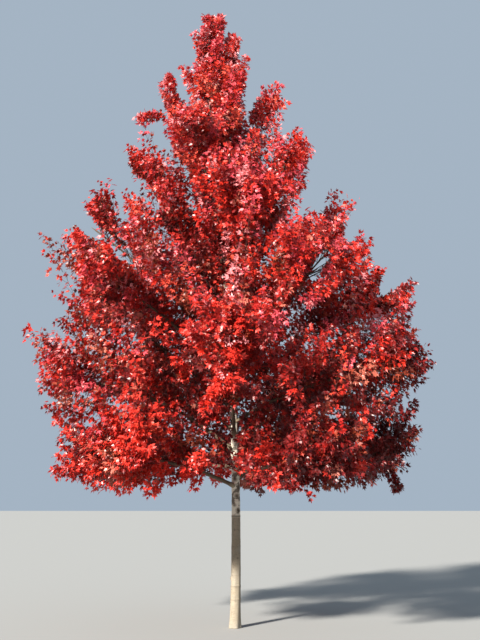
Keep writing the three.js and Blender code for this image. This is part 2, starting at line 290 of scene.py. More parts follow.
@dataclass(frozen=True)
class GrowthRule:
    """The values of the rule that places limbs, grows shoots along them and sets sprays on the shoots."""

    bare_share: float = 0.37
    radius_share: float = 0.5
    tip_radius: float = 0.009
    bow: float = 0.09
    bearing_spread: float = 9
    tip_spread: float = 0.09
    reach_spread: float = 0.04
    tip_inset: float = 0.4
    limb_seed: int = 20
    gap: float = 0.0003
    shoot_nodes: int = 3
    first_node: float = 0.1
    spire_first_node: float = 0.42
    last_node: float = 0.8
    end_shoot: float = 0.55
    shoot_length: float = 1.17
    shoot_taper: float = 0.35
    shoot_spread: float = 0.3
    shoot_forward: float = 0.62
    shoot_sideways: float = 0.82
    shoot_shrinks: tuple[float, ...] = (1, 0.82, 0.66, 0.5)
    mass_seed: int = 9103
    mass_seed_step: int = 31
    spray_places: tuple[float, ...] = (0.42, 0.72, 0.995)
    spray_forward: float = 0.5
    spray_sideways: float = 0.85
    spray_stray: float = 0.3
    spray_upturn: float = 0.7
    light_level_loss: float = 0.7
    light_rise: float = 0.25
    light_lift: float = 1.3
    facing_limb_share: float = 0.3
    facing_upward: float = 0.45
    facing_stray: float = 1.1
    spray_tries: int = 6
    longest_spray: float = 1.1
    spray_draw_in: float = 0.09
    space_middle: float = 0.56
    spire_space_middle: float = 0.78
    space_rise: float = 0.04
    space_flatness: float = 0.72
    space_margin: float = 0.002
    twig_room: float = 0.028
    samples: int = 8


# The twigs that carry on where the part's source stops, and their leaves.


@dataclass(frozen=True)
class TwigLevel:
    """How one finer generation of twigs stands on the one before it.

    Its edge is how far they may stand outside the crown's outline, or None where only the solids' box counts.
    """

    places: tuple[float, ...]
    length: float
    length_spread: float
    taper: float
    forward: float
    sideways: float
    rise: float
    upturn: float
    stray: float
    edge: float | None = 0.02


@dataclass(frozen=True)
class LeafLevel:
    """How leaves stand in pairs along one generation of twigs, with an edge as in TwigLevel."""

    first: float
    pairs: int
    size: float
    tip_share: float
    edge: float | None = 0.02


@dataclass(frozen=True)
class SkyGap:
    """A slot through the crown, along the viewer's line of sight, through which the sky shows."""

    x: float
    height: float
    length: float
    width: float
    lean: float

    def holds(self, points: np.ndarray) -> np.ndarray:
        """Tells which points are in the slot.

        Args:
            points: Points as (n, 3).

        Returns:
            True or False for each point.
        """
        viewer = np.array(VIEWER)
        seen = viewer + (points - viewer) * (-viewer[1] / (points[:, 1:2] - viewer[1]))
        across, up = seen[:, 0] - self.x, seen[:, 2] - self.height
        lean = math.radians(self.lean)
        along = across * math.sin(lean) + up * math.cos(lean)
        aside = across * math.cos(lean) - up * math.sin(lean)
        return (2 * along / self.length) ** 2 + (2 * aside / self.width) ** 2 < 1


@dataclass(frozen=True)
class GapLadder:
    """A run of slots of sky up one flank of the crown, at even steps of height."""

    side: int
    count: int
    heights: tuple[float, float]
    outer: float
    lengths: tuple[float, float]
    widths: tuple[float, float]
    leans: tuple[float, float]

    def slots(self, crown: CrownForm) -> list[SkyGap]:
        """Sets the slots out by the crown's form.

        Args:
            crown: The crown's form.

        Returns:
            The slots from the lowest to the highest.
        """
        found = []
        for share in np.linspace(0, 1, self.count):
            height = between(*self.heights, share)
            away = float(crown.reach(height, 0.0 if self.side > 0 else math.pi)) * self.outer
            across = float(crown.trunk_point(height)[0]) + self.side * away
            length, width, lean = (between(*ends, share) for ends in (self.lengths, self.widths, self.leans))
            found.append(SkyGap(across, height, length, width, self.side * lean))
        return found


@dataclass(frozen=True)
class ShootSpiral:
    """Long thin shoots whose tips stand round the crown, each a golden angle on from the one below it."""

    count: int
    heights: tuple[float, float]
    outer: tuple[float, float]

    def tips(self, crown: CrownForm, random: np.random.Generator) -> np.ndarray:
        """Sets the shoots' tips out by the crown's form.

        Args:
            crown: The crown's form.
            random: Where the tips' unevenness comes from.

        Returns:
            The tips as (n, 3), from the lowest to the highest.
        """
        step = np.arange(self.count)
        height = between(*self.heights, (step + random.uniform(0, 1, self.count)) / self.count)
        bearing = step * GOLDEN_ANGLE
        away = crown.reach(height, bearing) * random.uniform(*self.outer, self.count)
        out = np.stack([np.cos(bearing), np.sin(bearing), np.zeros(self.count)], axis=1)
        return crown.trunk_point(height) + out * away[:, None]


@dataclass(frozen=True)
class Foliage:
    """The sizes and places of the finer twigs and the leaves, and of the gaps that they leave open."""

    seed: int = 417
    full_spray: float = 0.52
    thinning: float = 2.0
    tries: int = 5
    outer_point: float = 0.6
    most_room: float = 0.3
    upward_choice: float = 0.25
    shrinks: tuple[float, ...] = (1, 0.8, 0.62, 0.45)
    riser_start: float = 0.12
    level_rise: float = 0.3
    inner_tiers: int = 5
    inner: TwigLevel = TwigLevel((0.1, 0.3, 0.5, 0.7, 0.9), 1.9, 0.3, 0.0, 0.3, 0.9, 0.3, 0.5, 0.8)
    riser: TwigLevel = TwigLevel(
        (0.04, 0.15, 0.26, 0.37, 0.48, 0.59, 0.7, 0.81, 0.92), 1.7, 0.25, 0.15, 0.55, 0.65, 0.6, 0.85, 0.6
    )
    plume: TwigLevel = TwigLevel(
        (0.14, 0.29, 0.44, 0.59, 0.74, 0.88), 0.3, 0.3, 0.3, 0.7, 0.6, 0.1, 0.6, 0.6, -0.1
    )
    between: TwigLevel = TwigLevel((0.3, 0.7), 1.1, 0.2, 0.15, 0.6, 0.7, 0.4, 0.85, 0.6)
    side: TwigLevel = TwigLevel((0.2, 0.4, 0.6, 0.8), 0.26, 0.3, 0.35, 0.75, 0.6, 0.1, 0.6, 0.5, -0.1)
    whip_side: TwigLevel = TwigLevel(
        (0.36, 0.44, 0.52, 0.6, 0.67, 0.74, 0.81, 0.88, 0.94), 0.1, 0.3, 0.2, 0.8, 0.55, 0.1, 0.6, 0.4, None
    )
    spray_leaves: LeafLevel = LeafLevel(0.12, 9, 0.076, 0.66)
    riser_leaves: LeafLevel = LeafLevel(0.1, 13, 0.076, 0.66)
    side_leaves: LeafLevel = LeafLevel(0.5, 2, 0.072, 0.85, -0.04)
    whip_leaves: LeafLevel = LeafLevel(0.3, 17, 0.07, 0.85, None)
    whip_side_leaves: LeafLevel = LeafLevel(0.5, 2, 0.068, 0.85, None)
    whip_start: float = 0.3
    whip_rise: tuple[float, float] = (0.36, 0.95)
    whip_lean: tuple[float, float] = (0.45, -0.05)
    whip_shortest: float = 0.4
    whip_bow: float = 0.06
    size_spread: float = 0.2
    petiole: float = 0.5
    droop: float = 0.65
    twig_box_room: float = -0.06
    leaf_box_room: float = 0.02
    top_inset: float = 0.2
    top_power: int = 8
    ragged: float = 0.03
    tint_stray: float = 0.14
    gaps: tuple[GapLadder, ...] = (
        GapLadder(-1, 5, (4.2, 7.35), 1.02, (0.7, 0.5), (0.24, 0.2), (45, 25)),
        GapLadder(1, 5, (4.3, 7.1), 1.02, (0.7, 0.5), (0.26, 0.2), (30, 12)),
        GapLadder(-1, 4, (4.6, 6.8), 0.65, (0.55, 0.5), (0.2, 0.15), (35, 25)),
        GapLadder(1, 4, (4.4, 6.7), 0.6, (0.55, 0.5), (0.2, 0.15), (28, 12)),
    )
    whip_spirals: tuple[ShootSpiral, ...] = (
        ShootSpiral(125, (1.6, 7.92), (0.96, 1.1)),
        ShootSpiral(24, (2.1, 3.0), (0.32, 0.46)),
    )


class Rows:
    """Many things of one kind as arrays, with one row for each thing."""

    def kept(self, mask: np.ndarray) -> Self:
        """Returns the rows that a mask picks."""
        return type(self)(*(getattr(self, name)[mask] for name in self.__dataclass_fields__))

    @classmethod
    def together(cls, sets: list[Self]) -> Self:
        """Returns several sets of rows as one set."""
        names = cls.__dataclass_fields__
        return cls(*(np.concatenate([getattr(one, name) for one in sets]) for name in names))


@dataclass
class Twigs(Rows):
    """Twigs of one generation as arrays: each is a curve from its root to its tip, drawn towards its bend."""

    root: np.ndarray
    bend: np.ndarray
    tip: np.ndarray
    outward: np.ndarray
    lift: np.ndarray
    owner: np.ndarray
    tint: np.ndarray

    def __len__(self) -> int:
        """Returns the number of twigs."""
        return len(self.root)

    def point(self, share: float) -> np.ndarray:
        """Returns the point of each twig at a share of its length."""
        return (1 - share) ** 2 * self.root + 2 * share * (1 - share) * self.bend + share**2 * self.tip

    def ahead(self, share: float) -> np.ndarray:
        """Returns the direction of each twig at a share of its length."""
        return unit((1 - share) * (self.bend - self.root) + share * (self.tip - self.bend))

    def fork(self, node: int, share: float) -> tuple[np.ndarray, np.ndarray]:
        """Finds the directions at one node, where each node's pair stands crosswise to the one before.

        Args:
            node: The number of the node along the twigs.
            share: The share of their length where it is.

        Returns:
            The direction of each twig there, and the one of its pair's first side.
        """
        ahead = self.ahead(share)
        level, above = crosswise(ahead)
        return ahead, above if node % 2 else level

    def line(self, count: int) -> np.ndarray:
        """Returns a number of points along each twig, as (twigs, count, 3)."""
        return np.stack([self.point(share) for share in np.linspace(0, 1, count)], axis=1)

    def span(self) -> np.ndarray:
        """Returns the distance from root to tip of each twig."""
        return np.linalg.norm(self.tip - self.root, axis=1)

    @classmethod
    def from_limbs(cls, limbs: list[Limb], owner: np.ndarray, root: Any, bend: Any, tip: Any) -> Self:
        """Makes twigs that take their direction outward and their lift from limbs.

        Args:
            limbs: All the limbs.
            owner: The index of each twig's limb.
            root: Where each starts.
            bend: The bend of each.
            tip: The tip of each.

        Returns:
            The twigs, with no tint as yet.
        """
        outward = np.array([limbs[index].outward for index in owner])
        lift = np.array([limbs[index].tier.lift for index in owner])
        return cls(root, bend, tip, outward, lift, owner, np.zeros(len(owner), int))


class Grower:
    """Grows the limbs, shoots and sprays of the part's source, and the finer twigs on them."""

    def __init__(self, crown: CrownForm, rule: GrowthRule, foliage: Foliage) -> None:
        """Grows the limbs and sets out the space of each mass.

        Args:
            crown: The outline to keep to.
            rule: The rule of the part's source.
            foliage: The sizes of the finer twigs.
        """
        self.crown = crown
        self.rule = rule
        self.foliage = foliage
        self.random = np.random.default_rng(foliage.seed)
        draws = Draws(rule.limb_seed)
        self.limbs = [self.limb(tier, index, draws) for tier in TIERS for index in range(tier.count)]
        self.limbs.append(self.leader())
        self.middles = np.array([limb.middle(rule.space_rise) for limb in self.limbs])
        self.sprays = np.array([limb.tier.spray for limb in self.limbs])
        self.fullness = np.minimum(1, (self.sprays / foliage.full_spray) ** foliage.thinning)
        self.gaps = [slot for ladder in foliage.gaps for slot in ladder.slots(crown)]
        self.taken = np.zeros((0, 3))
        self.set_out_obstacles()

    def limb(self, tier: Tier, index: int, draws: Draws) -> Limb:
        """Makes one limb of a tier.

        Args:
            tier: The tier that it stands in.
            index: Its place in the tier.
            draws: The stream that all limbs share.

        Returns:
            The limb.
        """
        rule, crown = self.rule, self.crown
        turn = 360 / tier.count * index
        bearing = math.radians(tier.bearing + turn + draws.spread(rule.bearing_spread))
        outward = towards(bearing)
        level = np.cross(UP, outward)
        root_height = between(*tier.roots, (index * 2 % tier.count) / (tier.count - 1))
        tip_height = tier.tip + draws.spread(rule.tip_spread)
        widest = float(crown.reach(tip_height, bearing)) * (1 + draws.spread(rule.reach_spread))
        reach = widest - tier.spray * rule.tip_inset
        climb = min(reach / 2 * math.tan(math.radians(tier.rise)), tip_height - root_height)
        start = crown.trunk_point(root_height)
        bend = start + outward * reach / 2 + UP * climb + level * draws.spread(rule.bow) * reach
        is_spire = tier.name == "spire"
        middle = rule.spire_space_middle if is_spire else between(rule.bare_share, 1, rule.space_middle)
        return Limb(
            name=f"{tier.name}_{index + 1}",
            tier=tier,
            outward=outward,
            start=start,
            bend=bend,
            tip=crown.trunk_point(tip_height) + outward * reach,
            root_radius=crown.trunk_radius(root_height) * rule.radius_share,
            tip_radius=rule.tip_radius,
            bare=0.0 if is_spire else rule.bare_share,
            first_node=rule.spire_first_node if is_spire else rule.first_node,
            space_middle=middle,
        )

    def leader(self) -> Limb:
        """Makes the limb that carries on from the tip of the trunk.

        Returns:
            The limb.
        """
        rule, crown = self.rule, self.crown
        start = crown.trunk_point(crown.trunk_top) + UP * rule.gap
        tip = crown.trunk_point(crown.height - LEADER.spray)
        radius = crown.trunk_radius_tip
        shares = (0.0, rule.first_node, rule.space_middle)
        return Limb("leader", LEADER, FRONT, start, (start + tip) / 2, tip, radius, radius, *shares)

    def set_out_obstacles(self) -> None:
        """Sets out the trunk and the limbs as straight pieces, for finding how near a twig comes to them."""
        count = self.rule.samples
        shares = np.linspace(0, 1, count + 1)
        lines = [self.crown.trunk_point(self.crown.trunk_top * shares)]
        radii = [self.crown.trunk_radius(self.crown.trunk_top * shares[:-1])]
        lines += [limb.point(shares) for limb in self.limbs]
        radii += [limb.radius(shares[:-1]) for limb in self.limbs]
        self.piece_starts = np.concatenate([line[:-1] for line in lines])
        self.piece_ends = np.concatenate([line[1:] for line in lines])
        self.piece_radii = np.concatenate(radii)
        self.piece_owners = np.repeat(np.arange(-1, len(self.limbs)), count)

    def in_own_space(self, points: np.ndarray, owner: np.ndarray) -> np.ndarray:
        """Tells which points are nearer to their own mass's middle than to any other.

        Args:
            points: Points as (n, 3).
            owner: The index of each point's own limb.

        Returns:
            True or False for each point.
        """
        squash = np.array([1, 1, self.rule.space_flatness])
        distance = ((points[:, None] - self.middles) * squash) ** 2
        distance = distance.sum(axis=2)
        own = distance[np.arange(len(points)), owner]
        apart = (self.middles[owner][:, None] - self.middles) * squash**2
        clear = distance - own[:, None] > self.rule.space_margin * 2 * np.linalg.norm(apart, axis=2)
        clear[np.arange(len(points)), owner] = True
        return clear.all(axis=1)

    def clear_of_limbs(self, points: np.ndarray, owner: int) -> bool:
        """Tells whether a twig stays clear of the trunk and of the other limbs.

        Args:
            points: Points along the twig as (n, 3).
            owner: The index of its own limb.

        Returns:
            True if no point comes close.
        """
        others = self.piece_owners != owner
        start, span = self.piece_starts[others], (self.piece_ends - self.piece_starts)[others]
        along = ((points[:, None] - start) * span).sum(axis=2) / (span**2).sum(axis=1)
        nearest = start + np.clip(along, 0, 1)[..., None] * span
        distance = np.linalg.norm(points[:, None] - nearest, axis=2)
        return bool((distance > self.piece_radii[others] + self.rule.twig_room).all())

    def fits(self, points: np.ndarray, owner: np.ndarray) -> np.ndarray:
        """Returns, for points as (n, 3), which are in the crown and in their own mass's space."""
        return self.crown.holds(points) & self.in_own_space(points, owner)

    def open_to(self, points: np.ndarray, edge: float | None, room: float) -> np.ndarray:
        """Tells which points a finer twig or a leaf may take up.

        Args:
            points: Points as (n, 3).
            edge: How far outside the crown's outline they may be, or None where outline and gaps don't count.
            room: How far outside the solids' box they may be.

        Returns:
            True for each point that is in the solids' box, in the crown and in no gap.
        """
        lowest, highest = np.array(cad_box)
        free = ((points > lowest - room) & (points < highest + room)).all(axis=1)
        if edge is None:
            return free
        inset = self.foliage.top_inset * (points[:, 2] / self.crown.height) ** self.foliage.top_power
        return free & self.crown.holds(points, edge - inset) & self.out_of_gaps(points)

    def out_of_gaps(self, points: np.ndarray) -> np.ndarray:
        """Returns, for points as (n, 3), which are in no slot of sky."""
        return ~np.any([gap.holds(points) for gap in self.gaps], axis=0)

    def shoots(self, index: int, draws: Draws) -> list[tuple[np.ndarray, np.ndarray, float]]:
        """Grows the shoots of one mass as the part's source does.

        Args:
            index: The index of the mass's limb.
            draws: The mass's own stream.

        Returns:
            For each shoot its first and last point and its turn. The last shoot is the stem's own end.
        """
        rule, limb = self.rule, self.limbs[index]
        level = np.cross(UP, limb.outward)
        grown = []
        for node in range(rule.shoot_nodes):
            rank = node / (rule.shoot_nodes - 1)
            place = between(limb.bare, 1, between(limb.first_node, rule.last_node, rank))
            start, ahead = limb.point(place), limb.ahead(place)
            side = unit(np.cross(ahead, level)) if node % 2 else level
            for turn in (1.0, -1.0):
                upward = UP * (limb.tier.lift + draws.spread(rule.shoot_spread / 2))
                direction = unit(ahead * rule.shoot_forward + side * turn * rule.shoot_sideways + upward)
                longest = rule.shoot_length * limb.tier.spray * (1 - rule.shoot_taper * rank)
                longest *= 1 + draws.spread(rule.shoot_spread / 2)
                for shrink in rule.shoot_shrinks:
                    end = start + direction * longest * shrink
                    points = start + np.linspace(0, 1, rule.samples + 1)[:, None] * (end - start)
                    inside = self.fits(points, np.full(len(points), index)).all()
                    if inside and self.clear_of_limbs(points, index):
                        grown.append((start, end, turn))
                        break
        place = between(limb.bare, 1, rule.end_shoot)
        grown.append((limb.point(place), limb.tip, 1.0))
        return grown

    def spray(
        self, shoot: tuple[np.ndarray, np.ndarray, float], place_index: int, index: int, draws: Draws
    ) -> dict[str, Any] | None:
        """Grows the twig of one spray: the longest that keeps to the mass's space.

        Args:
            shoot: The shoot's first and last point and its turn.
            place_index: Which of the places along the shoot it stands at.
            index: The index of the mass's limb.
            draws: The mass's own stream.

        Returns:
            The twig's fields, or None where none fits.
        """
        rule, limb = self.rule, self.limbs[index]
        start, end, shoot_turn = shoot
        place = rule.spray_places[place_index]
        is_last = place_index == len(rule.spray_places) - 1
        root = between(start, end, place)
        ahead = unit(end - start)
        away = unit(root - self.crown.trunk_point(root[2]))
        outward = between(away, limb.outward, rule.facing_limb_share)
        turn = -shoot_turn if place_index % 2 else shoot_turn
        choice = None
        for tries in range(rule.spray_tries):
            stray = draws.stray()
            facing = outward + UP * rule.facing_upward + stray * rule.facing_stray
            sideways = unit(np.cross(facing, ahead)) * turn
            along = ahead if is_last else ahead * rule.spray_forward + sideways * rule.spray_sideways
            along = unit(along + stray * rule.spray_stray)
            length = limb.tier.spray * (rule.longest_spray - rule.spray_draw_in * tries)
            bend, tip = self.upturned(root, along, outward, limb.tier.lift, length, rule.spray_upturn)
            if choice is None and self.fits(np.array([bend, tip]), np.array([index, index])).all():
                choice = {"root": root, "bend": bend, "tip": tip, "outward": unit(outward)}
        return choice

    def upturned(
        self, root: Any, along: Any, outward: Any, lift: Any, length: Any, upturn: float
    ) -> tuple[np.ndarray, np.ndarray]:
        """Bends a twig towards the light.

        Args:
            root: Where it starts.
            along: Its direction there.
            outward: The level direction away from the trunk.
            lift: How upright the shoots of its tier are.
            length: Its length.
            upturn: The share by which its outer half turns to the light.

        Returns:
            Its bend and its tip.
        """
        rule = self.rule
        upward = UP * (rule.light_rise + rule.light_lift * lift)
        light = unit(outward * (1 - rule.light_level_loss * lift) + upward)
        bend = root + along * length / 2
        return bend, bend + unit(between(along, light, upturn)) * length / 2

    def first_generation(self) -> tuple[list[tuple[np.ndarray, np.ndarray, int]], Twigs]:
        """Grows the shoots and sprays of every mass.

        Returns:
            The shoots, as first point, last point and limb index, and the twigs of their sprays.
        """
        shoots, rows = [], []
        for index, limb in enumerate(self.limbs):
            draws = Draws(self.rule.mass_seed + self.rule.mass_seed_step * index)
            for shoot in self.shoots(index, draws):
                shoots.append((shoot[0], shoot[1], index))
                for place_index in range(len(self.rule.spray_places)):
                    twig = self.spray(shoot, place_index, index, draws)
                    if twig is not None:
                        rows.append({**twig, "lift": limb.tier.lift, "owner": index, "tint": 0})
        sprays = Twigs(*(np.array([row[name] for row in rows]) for name in Twigs.__dataclass_fields__))
        limits = self.foliage.between.edge, self.foliage.twig_box_room
        sprays = sprays.kept(self.open_to(sprays.tip, *limits) & self.open_to(sprays.bend, *limits))
        self.taken = np.concatenate([sprays.tip, sprays.point(self.foliage.outer_point)])
        return shoots, sprays

    def shoots_as_twigs(self, shoots: list[tuple[np.ndarray, np.ndarray, int]]) -> Twigs:
        """Makes twigs of the shoots, so that finer ones can grow on them.

        Args:
            shoots: The first point, the last point and the limb's index of each.

        Returns:
            The shoots as straight twigs.
        """
        root, tip, owner = (np.array(column) for column in zip(*shoots))
        middle = (root + tip) / 2
        twigs = Twigs.from_limbs(self.limbs, owner, root, middle, tip)
        twigs.outward = unit((middle - self.crown.trunk_point(middle[:, 2])) * [1, 1, 0])
        return twigs

    def limbs_as_twigs(self) -> Twigs:
        """Makes twigs of the limbs' outer stretches, so that finer ones can grow on them.

        Returns:
            One twig for each limb.
        """
        limbs = self.limbs
        starts = [self.foliage.riser_start if limb.bare else limb.first_node for limb in limbs]
        root = np.array([limb.point(share) for limb, share in zip(limbs, starts)])
        bend = np.array([between(limb.bend, limb.tip, share) for limb, share in zip(limbs, starts)])
        tip = np.array([limb.tip for limb in limbs])
        return Twigs.from_limbs(limbs, np.arange(len(limbs)), root, bend, tip)

    def trunk_as_twigs(self) -> Twigs:
        """Makes twigs of the stretches of trunk that carry the low tiers, for the crown's inner twigs.

        Returns:
            One twig for each of those tiers.
        """
        tiers = TIERS[: self.foliage.inner_tiers]
        owner = np.cumsum([0] + [tier.count for tier in tiers[:-1]])
        root, tip = (self.crown.trunk_point([tier.roots[end] for tier in tiers]) for end in (0, 1))
        twigs = Twigs.from_limbs(self.limbs, owner, root, (root + tip) / 2, tip)
        twigs.outward = np.tile(FRONT, (len(tiers), 1))
        return twigs

    def whips(self) -> Twigs:
        """Grows the long thin shoots at the crown's edge, each from the nearest limb that it can rise from.

        Returns:
            The shoots.
        """
        foliage, limbs = self.foliage, self.limbs
        shares = np.linspace(foliage.whip_start, 1, self.rule.samples + 1)
        places = np.array([limb.point(shares) for limb in limbs])
        spirals = [spiral.tips(self.crown, self.random) for spiral in foliage.whip_spirals]
        places_out = self.crown.aside(places)[0]
        tips = np.clip(np.concatenate(spirals), *np.array(cad_box))
        owners, roots = [], []
        for tip in tips:
            span = tip - places
            away = np.linalg.norm(span, axis=2)
            high = tip[2] / self.crown.height
            rises = span[..., 2] > between(*foliage.whip_rise, high) * away
            rises &= away > foliage.whip_shortest
            out = self.crown.aside(tip)[0] - places_out
            rises &= out > between(*foliage.whip_lean, high**foliage.top_power) * away
            nearest = np.argmin(away + np.where(rises, 0, self.crown.height))
            owner, place = np.unravel_index(nearest, away.shape)
            owners.append(owner)
            roots.append(places[owner, place])
        root = np.array(roots)
        whips = Twigs.from_limbs(limbs, np.array(owners), root, (root + tips) / 2, tips)
        whips.bend = whips.bend + (whips.outward - UP) * (whips.span() * foliage.whip_bow)[:, None]
        return whips.kept(self.out_of_gaps(tips))

    def finer(self, twigs: Twigs, level: TwigLevel, lengths: np.ndarray) -> Twigs:
        """Grows pairs of finer twigs, each pair crosswise to the one before, where the crown has room.

        Args:
            twigs: The twigs to grow on.
            level: How the finer ones stand.
            lengths: The full length of a finer twig on each twig.

        Returns:
            The finer twigs that keep to their spaces.
        """
        grown = []
        for node, place in enumerate(level.places):
            ahead, side = twigs.fork(node, place)
            for turn in (1, -1):
                full = 1.0 if level.edge is None else self.fullness[twigs.owner]
                chosen = self.random.uniform(0, 1, len(twigs)) < full
                some = twigs.kept(chosen)
                rise = level.rise * (self.foliage.level_rise + twigs.lift[:, None])
                along = ahead * level.forward + side * turn * level.sideways + UP * rise
                longest = lengths * (1 - level.taper * place)
                grown.append(self.roomiest(some, place, along[chosen], longest[chosen], level))
        return Twigs.together(grown)

    def roomiest(
        self, twigs: Twigs, place: float, along: np.ndarray, longest: np.ndarray, level: TwigLevel
    ) -> Twigs:
        """Grows one finer twig on each twig: of a few strays, the one whose tip has the most room.

        Args:
            twigs: The twigs that they grow on.
            place: The share along those twigs where they stand.
            along: The direction of each before it strays.
            longest: The full length of each before it strays.
            level: How the finer ones stand.

        Returns:
            The finer twigs that fit.
        """
        taken = KDTree(len(self.taken))
        for number, point in enumerate(self.taken):
            taken.insert(point, number)
        taken.balance()
        root = twigs.point(place)
        best_bend, best_tip = root.copy(), root.copy()
        best_room = np.zeros(len(twigs))
        for _ in range(self.foliage.tries):
            stray = self.random.uniform(-0.5, 0.5, (len(twigs), 3)) * level.stray
            full = longest * (1 + self.random.uniform(-1, 1, len(twigs)) * level.length_spread)
            bend, tip, good = self.drawn_in(twigs, root, unit(along + stray), full, level)
            room = np.array([taken.find(point)[2] for point in tip])
            room = np.minimum(room, self.foliage.most_room) + self.foliage.upward_choice * (tip - root)[:, 2]
            better = good & (room > best_room)
            best_bend[better], best_tip[better] = bend[better], tip[better]
            best_room[better] = room[better]
        new = Twigs(root, best_bend, best_tip, twigs.outward, twigs.lift, twigs.owner, twigs.tint.copy())
        new = new.kept(best_room > 0)
        self.taken = np.concatenate([self.taken, new.tip, new.point(self.foliage.outer_point)])
        return new

    def drawn_in(
        self, twigs: Twigs, root: np.ndarray, along: np.ndarray, longest: np.ndarray, level: TwigLevel
    ) -> tuple[np.ndarray, np.ndarray, np.ndarray]:
        """Draws finer twigs in until they fit.

        Args:
            twigs: The twigs that they grow on.
            root: Where each starts.
            along: The direction of each.
            longest: The full length of each.
            level: How the finer ones stand.

        Returns:
            The bend and the tip of each, and which of them fit.
        """
        lift = twigs.lift[:, None]
        last_bend, last_tip = root.copy(), root.copy()
        still_out = np.ones(len(twigs), bool)
        limits = level.edge, self.foliage.twig_box_room
        for shrink in self.foliage.shrinks:
            length = (longest * shrink)[:, None]
            bend, tip = self.upturned(root, along, twigs.outward, lift, length, level.upturn)
            good = still_out & self.open_to(bend, *limits) & self.open_to(tip, *limits)
            last_bend[good], last_tip[good] = bend[good], tip[good]
            still_out &= ~good
        return last_bend, last_tip, ~still_out


# Finishes.


class Signal:
    """A socket's value that can be used in sums, which then become Math nodes."""

    def __init__(self, bench: "Bench", socket: bpy.types.NodeSocket) -> None:
        """Wraps an output socket of a material's tree."""
        self.bench = bench
        self.socket = socket

    def maths(self, operation: str, *values: Any) -> "Signal":
        """Adds a Math node.

        Args:
            operation: The node's operation.
            *values: Numbers or signals for its sockets, in order.

        Returns:
            The node's result.
        """
        return self.bench.node("ShaderNodeMath", {"operation": operation}, dict(enumerate(values)))

    def __add__(self, other: Any) -> "Signal":
        """Returns the sum."""
        return self.maths("ADD", self, other)

    def __radd__(self, other: Any) -> "Signal":
        """Returns the sum."""
        return self.maths("ADD", other, self)

    def __sub__(self, other: Any) -> "Signal":
        """Returns the difference."""
        return self.maths("SUBTRACT", self, other)

    def __rsub__(self, other: Any) -> "Signal":
        """Returns the difference."""
        return self.maths("SUBTRACT", other, self)

    def __mul__(self, other: Any) -> "Signal":
        """Returns the product."""
        return self.maths("MULTIPLY", self, other)

    def __truediv__(self, other: Any) -> "Signal":
        """Returns the quotient."""
        return self.maths("DIVIDE", self, other)

    def __abs__(self) -> "Signal":
        """Returns the value without its sign."""
        return self.maths("ABSOLUTE", self)

    def clamped(self) -> "Signal":
        """Returns the value kept between 0 and 1."""
        return self.maths("MINIMUM", self.maths("MAXIMUM", self, 0.0), 1.0)


class Bench:
    """A material's tree of nodes while it is being laid out."""

    MIX_FACTOR, MIX_A, MIX_B, MIX_RESULT = 0, 6, 7, 2

    def __init__(self, name: str) -> None:
        """Starts an empty material.

        Args:
            name: The material's name.
        """
        self.material = bpy.data.materials.new(name)
        self.material.use_nodes = True
        self.tree = self.material.node_tree
        self.tree.nodes.clear()

    def node(self, kind: str, settings: dict[str, Any], inputs: dict[Any, Any], output: Any = 0) -> Signal:
        """Adds a node.

        Args:
            kind: The node's type.
            settings: Its own settings, set before its sockets.
            inputs: A value or a signal for each socket, by name or number.
            output: Which of its outputs to return.

        Returns:
            The output.
        """
        made = self.tree.nodes.new(kind)
        for name, value in settings.items():
            setattr(made, name, value)
        for key, value in inputs.items():
            if isinstance(value, Signal):
                self.tree.links.new(value.socket, made.inputs[key])
            else:
                made.inputs[key].default_value = value
        return Signal(self, made.outputs[output])

    def mixed(self, share: Any, first: Any, second: Any) -> Signal:
        """Returns two colours mixed by a share."""
        inputs = {self.MIX_FACTOR: share, self.MIX_A: first, self.MIX_B: second}
        return self.node("ShaderNodeMix", {"data_type": "RGBA"}, inputs, self.MIX_RESULT)

    def noise(self, where: Signal, scale: float, detail: float) -> Signal:
        """Returns a noise pattern with about so many features to the metre."""
        return self.node("ShaderNodeTexNoise", {}, {"Vector": where, "Scale": scale, "Detail": detail})

    def finished(self, shader: Signal) -> bpy.types.Material:
        """Connects the surface.

        Args:
            shader: The surface's shader.

        Returns:
            The material.
        """
        output = self.tree.nodes.new("ShaderNodeOutputMaterial")
        self.tree.links.new(shader.socket, output.inputs["Surface"])
        return self.material


@dataclass(frozen=True)
class Mark:
    """A dark mark on the bark with a little relief: most are scars where a branch has gone or where one
    leaves, some paint dappled leaf shadow.
    """

    height: float
    bearing: float
    size: float
    swell: float
    darkness: float


@dataclass(frozen=True)
class Ring:
    """A ridge that runs round the trunk."""

    height: float
    width: float
    swell: float
    darkness: float


@dataclass(frozen=True)
class Pattern:
    """A noise pattern that shows where it is above a level, and the share in which it colours the bark."""

    scale: float
    detail: float
    level: float
    gain: float
    share: float = 1.0

    def on(self, bench: Bench, where: Signal) -> Signal:
        """Returns the pattern at a place, from 0 to 1."""
        return ((bench.noise(where, self.scale, self.detail) - self.level) * self.gain).clamped()


@dataclass(frozen=True)
class Climb:
    """A change of colour from a height on, over a length, and the share that it comes to."""

    height: float
    length: float
    share: float

    def at(self, height: Signal) -> Signal:
        """Returns how far the change has come at a height, from 0 to 1."""
        return ((height - self.height) / self.length).clamped()


Colour = tuple[float, float, float, float]


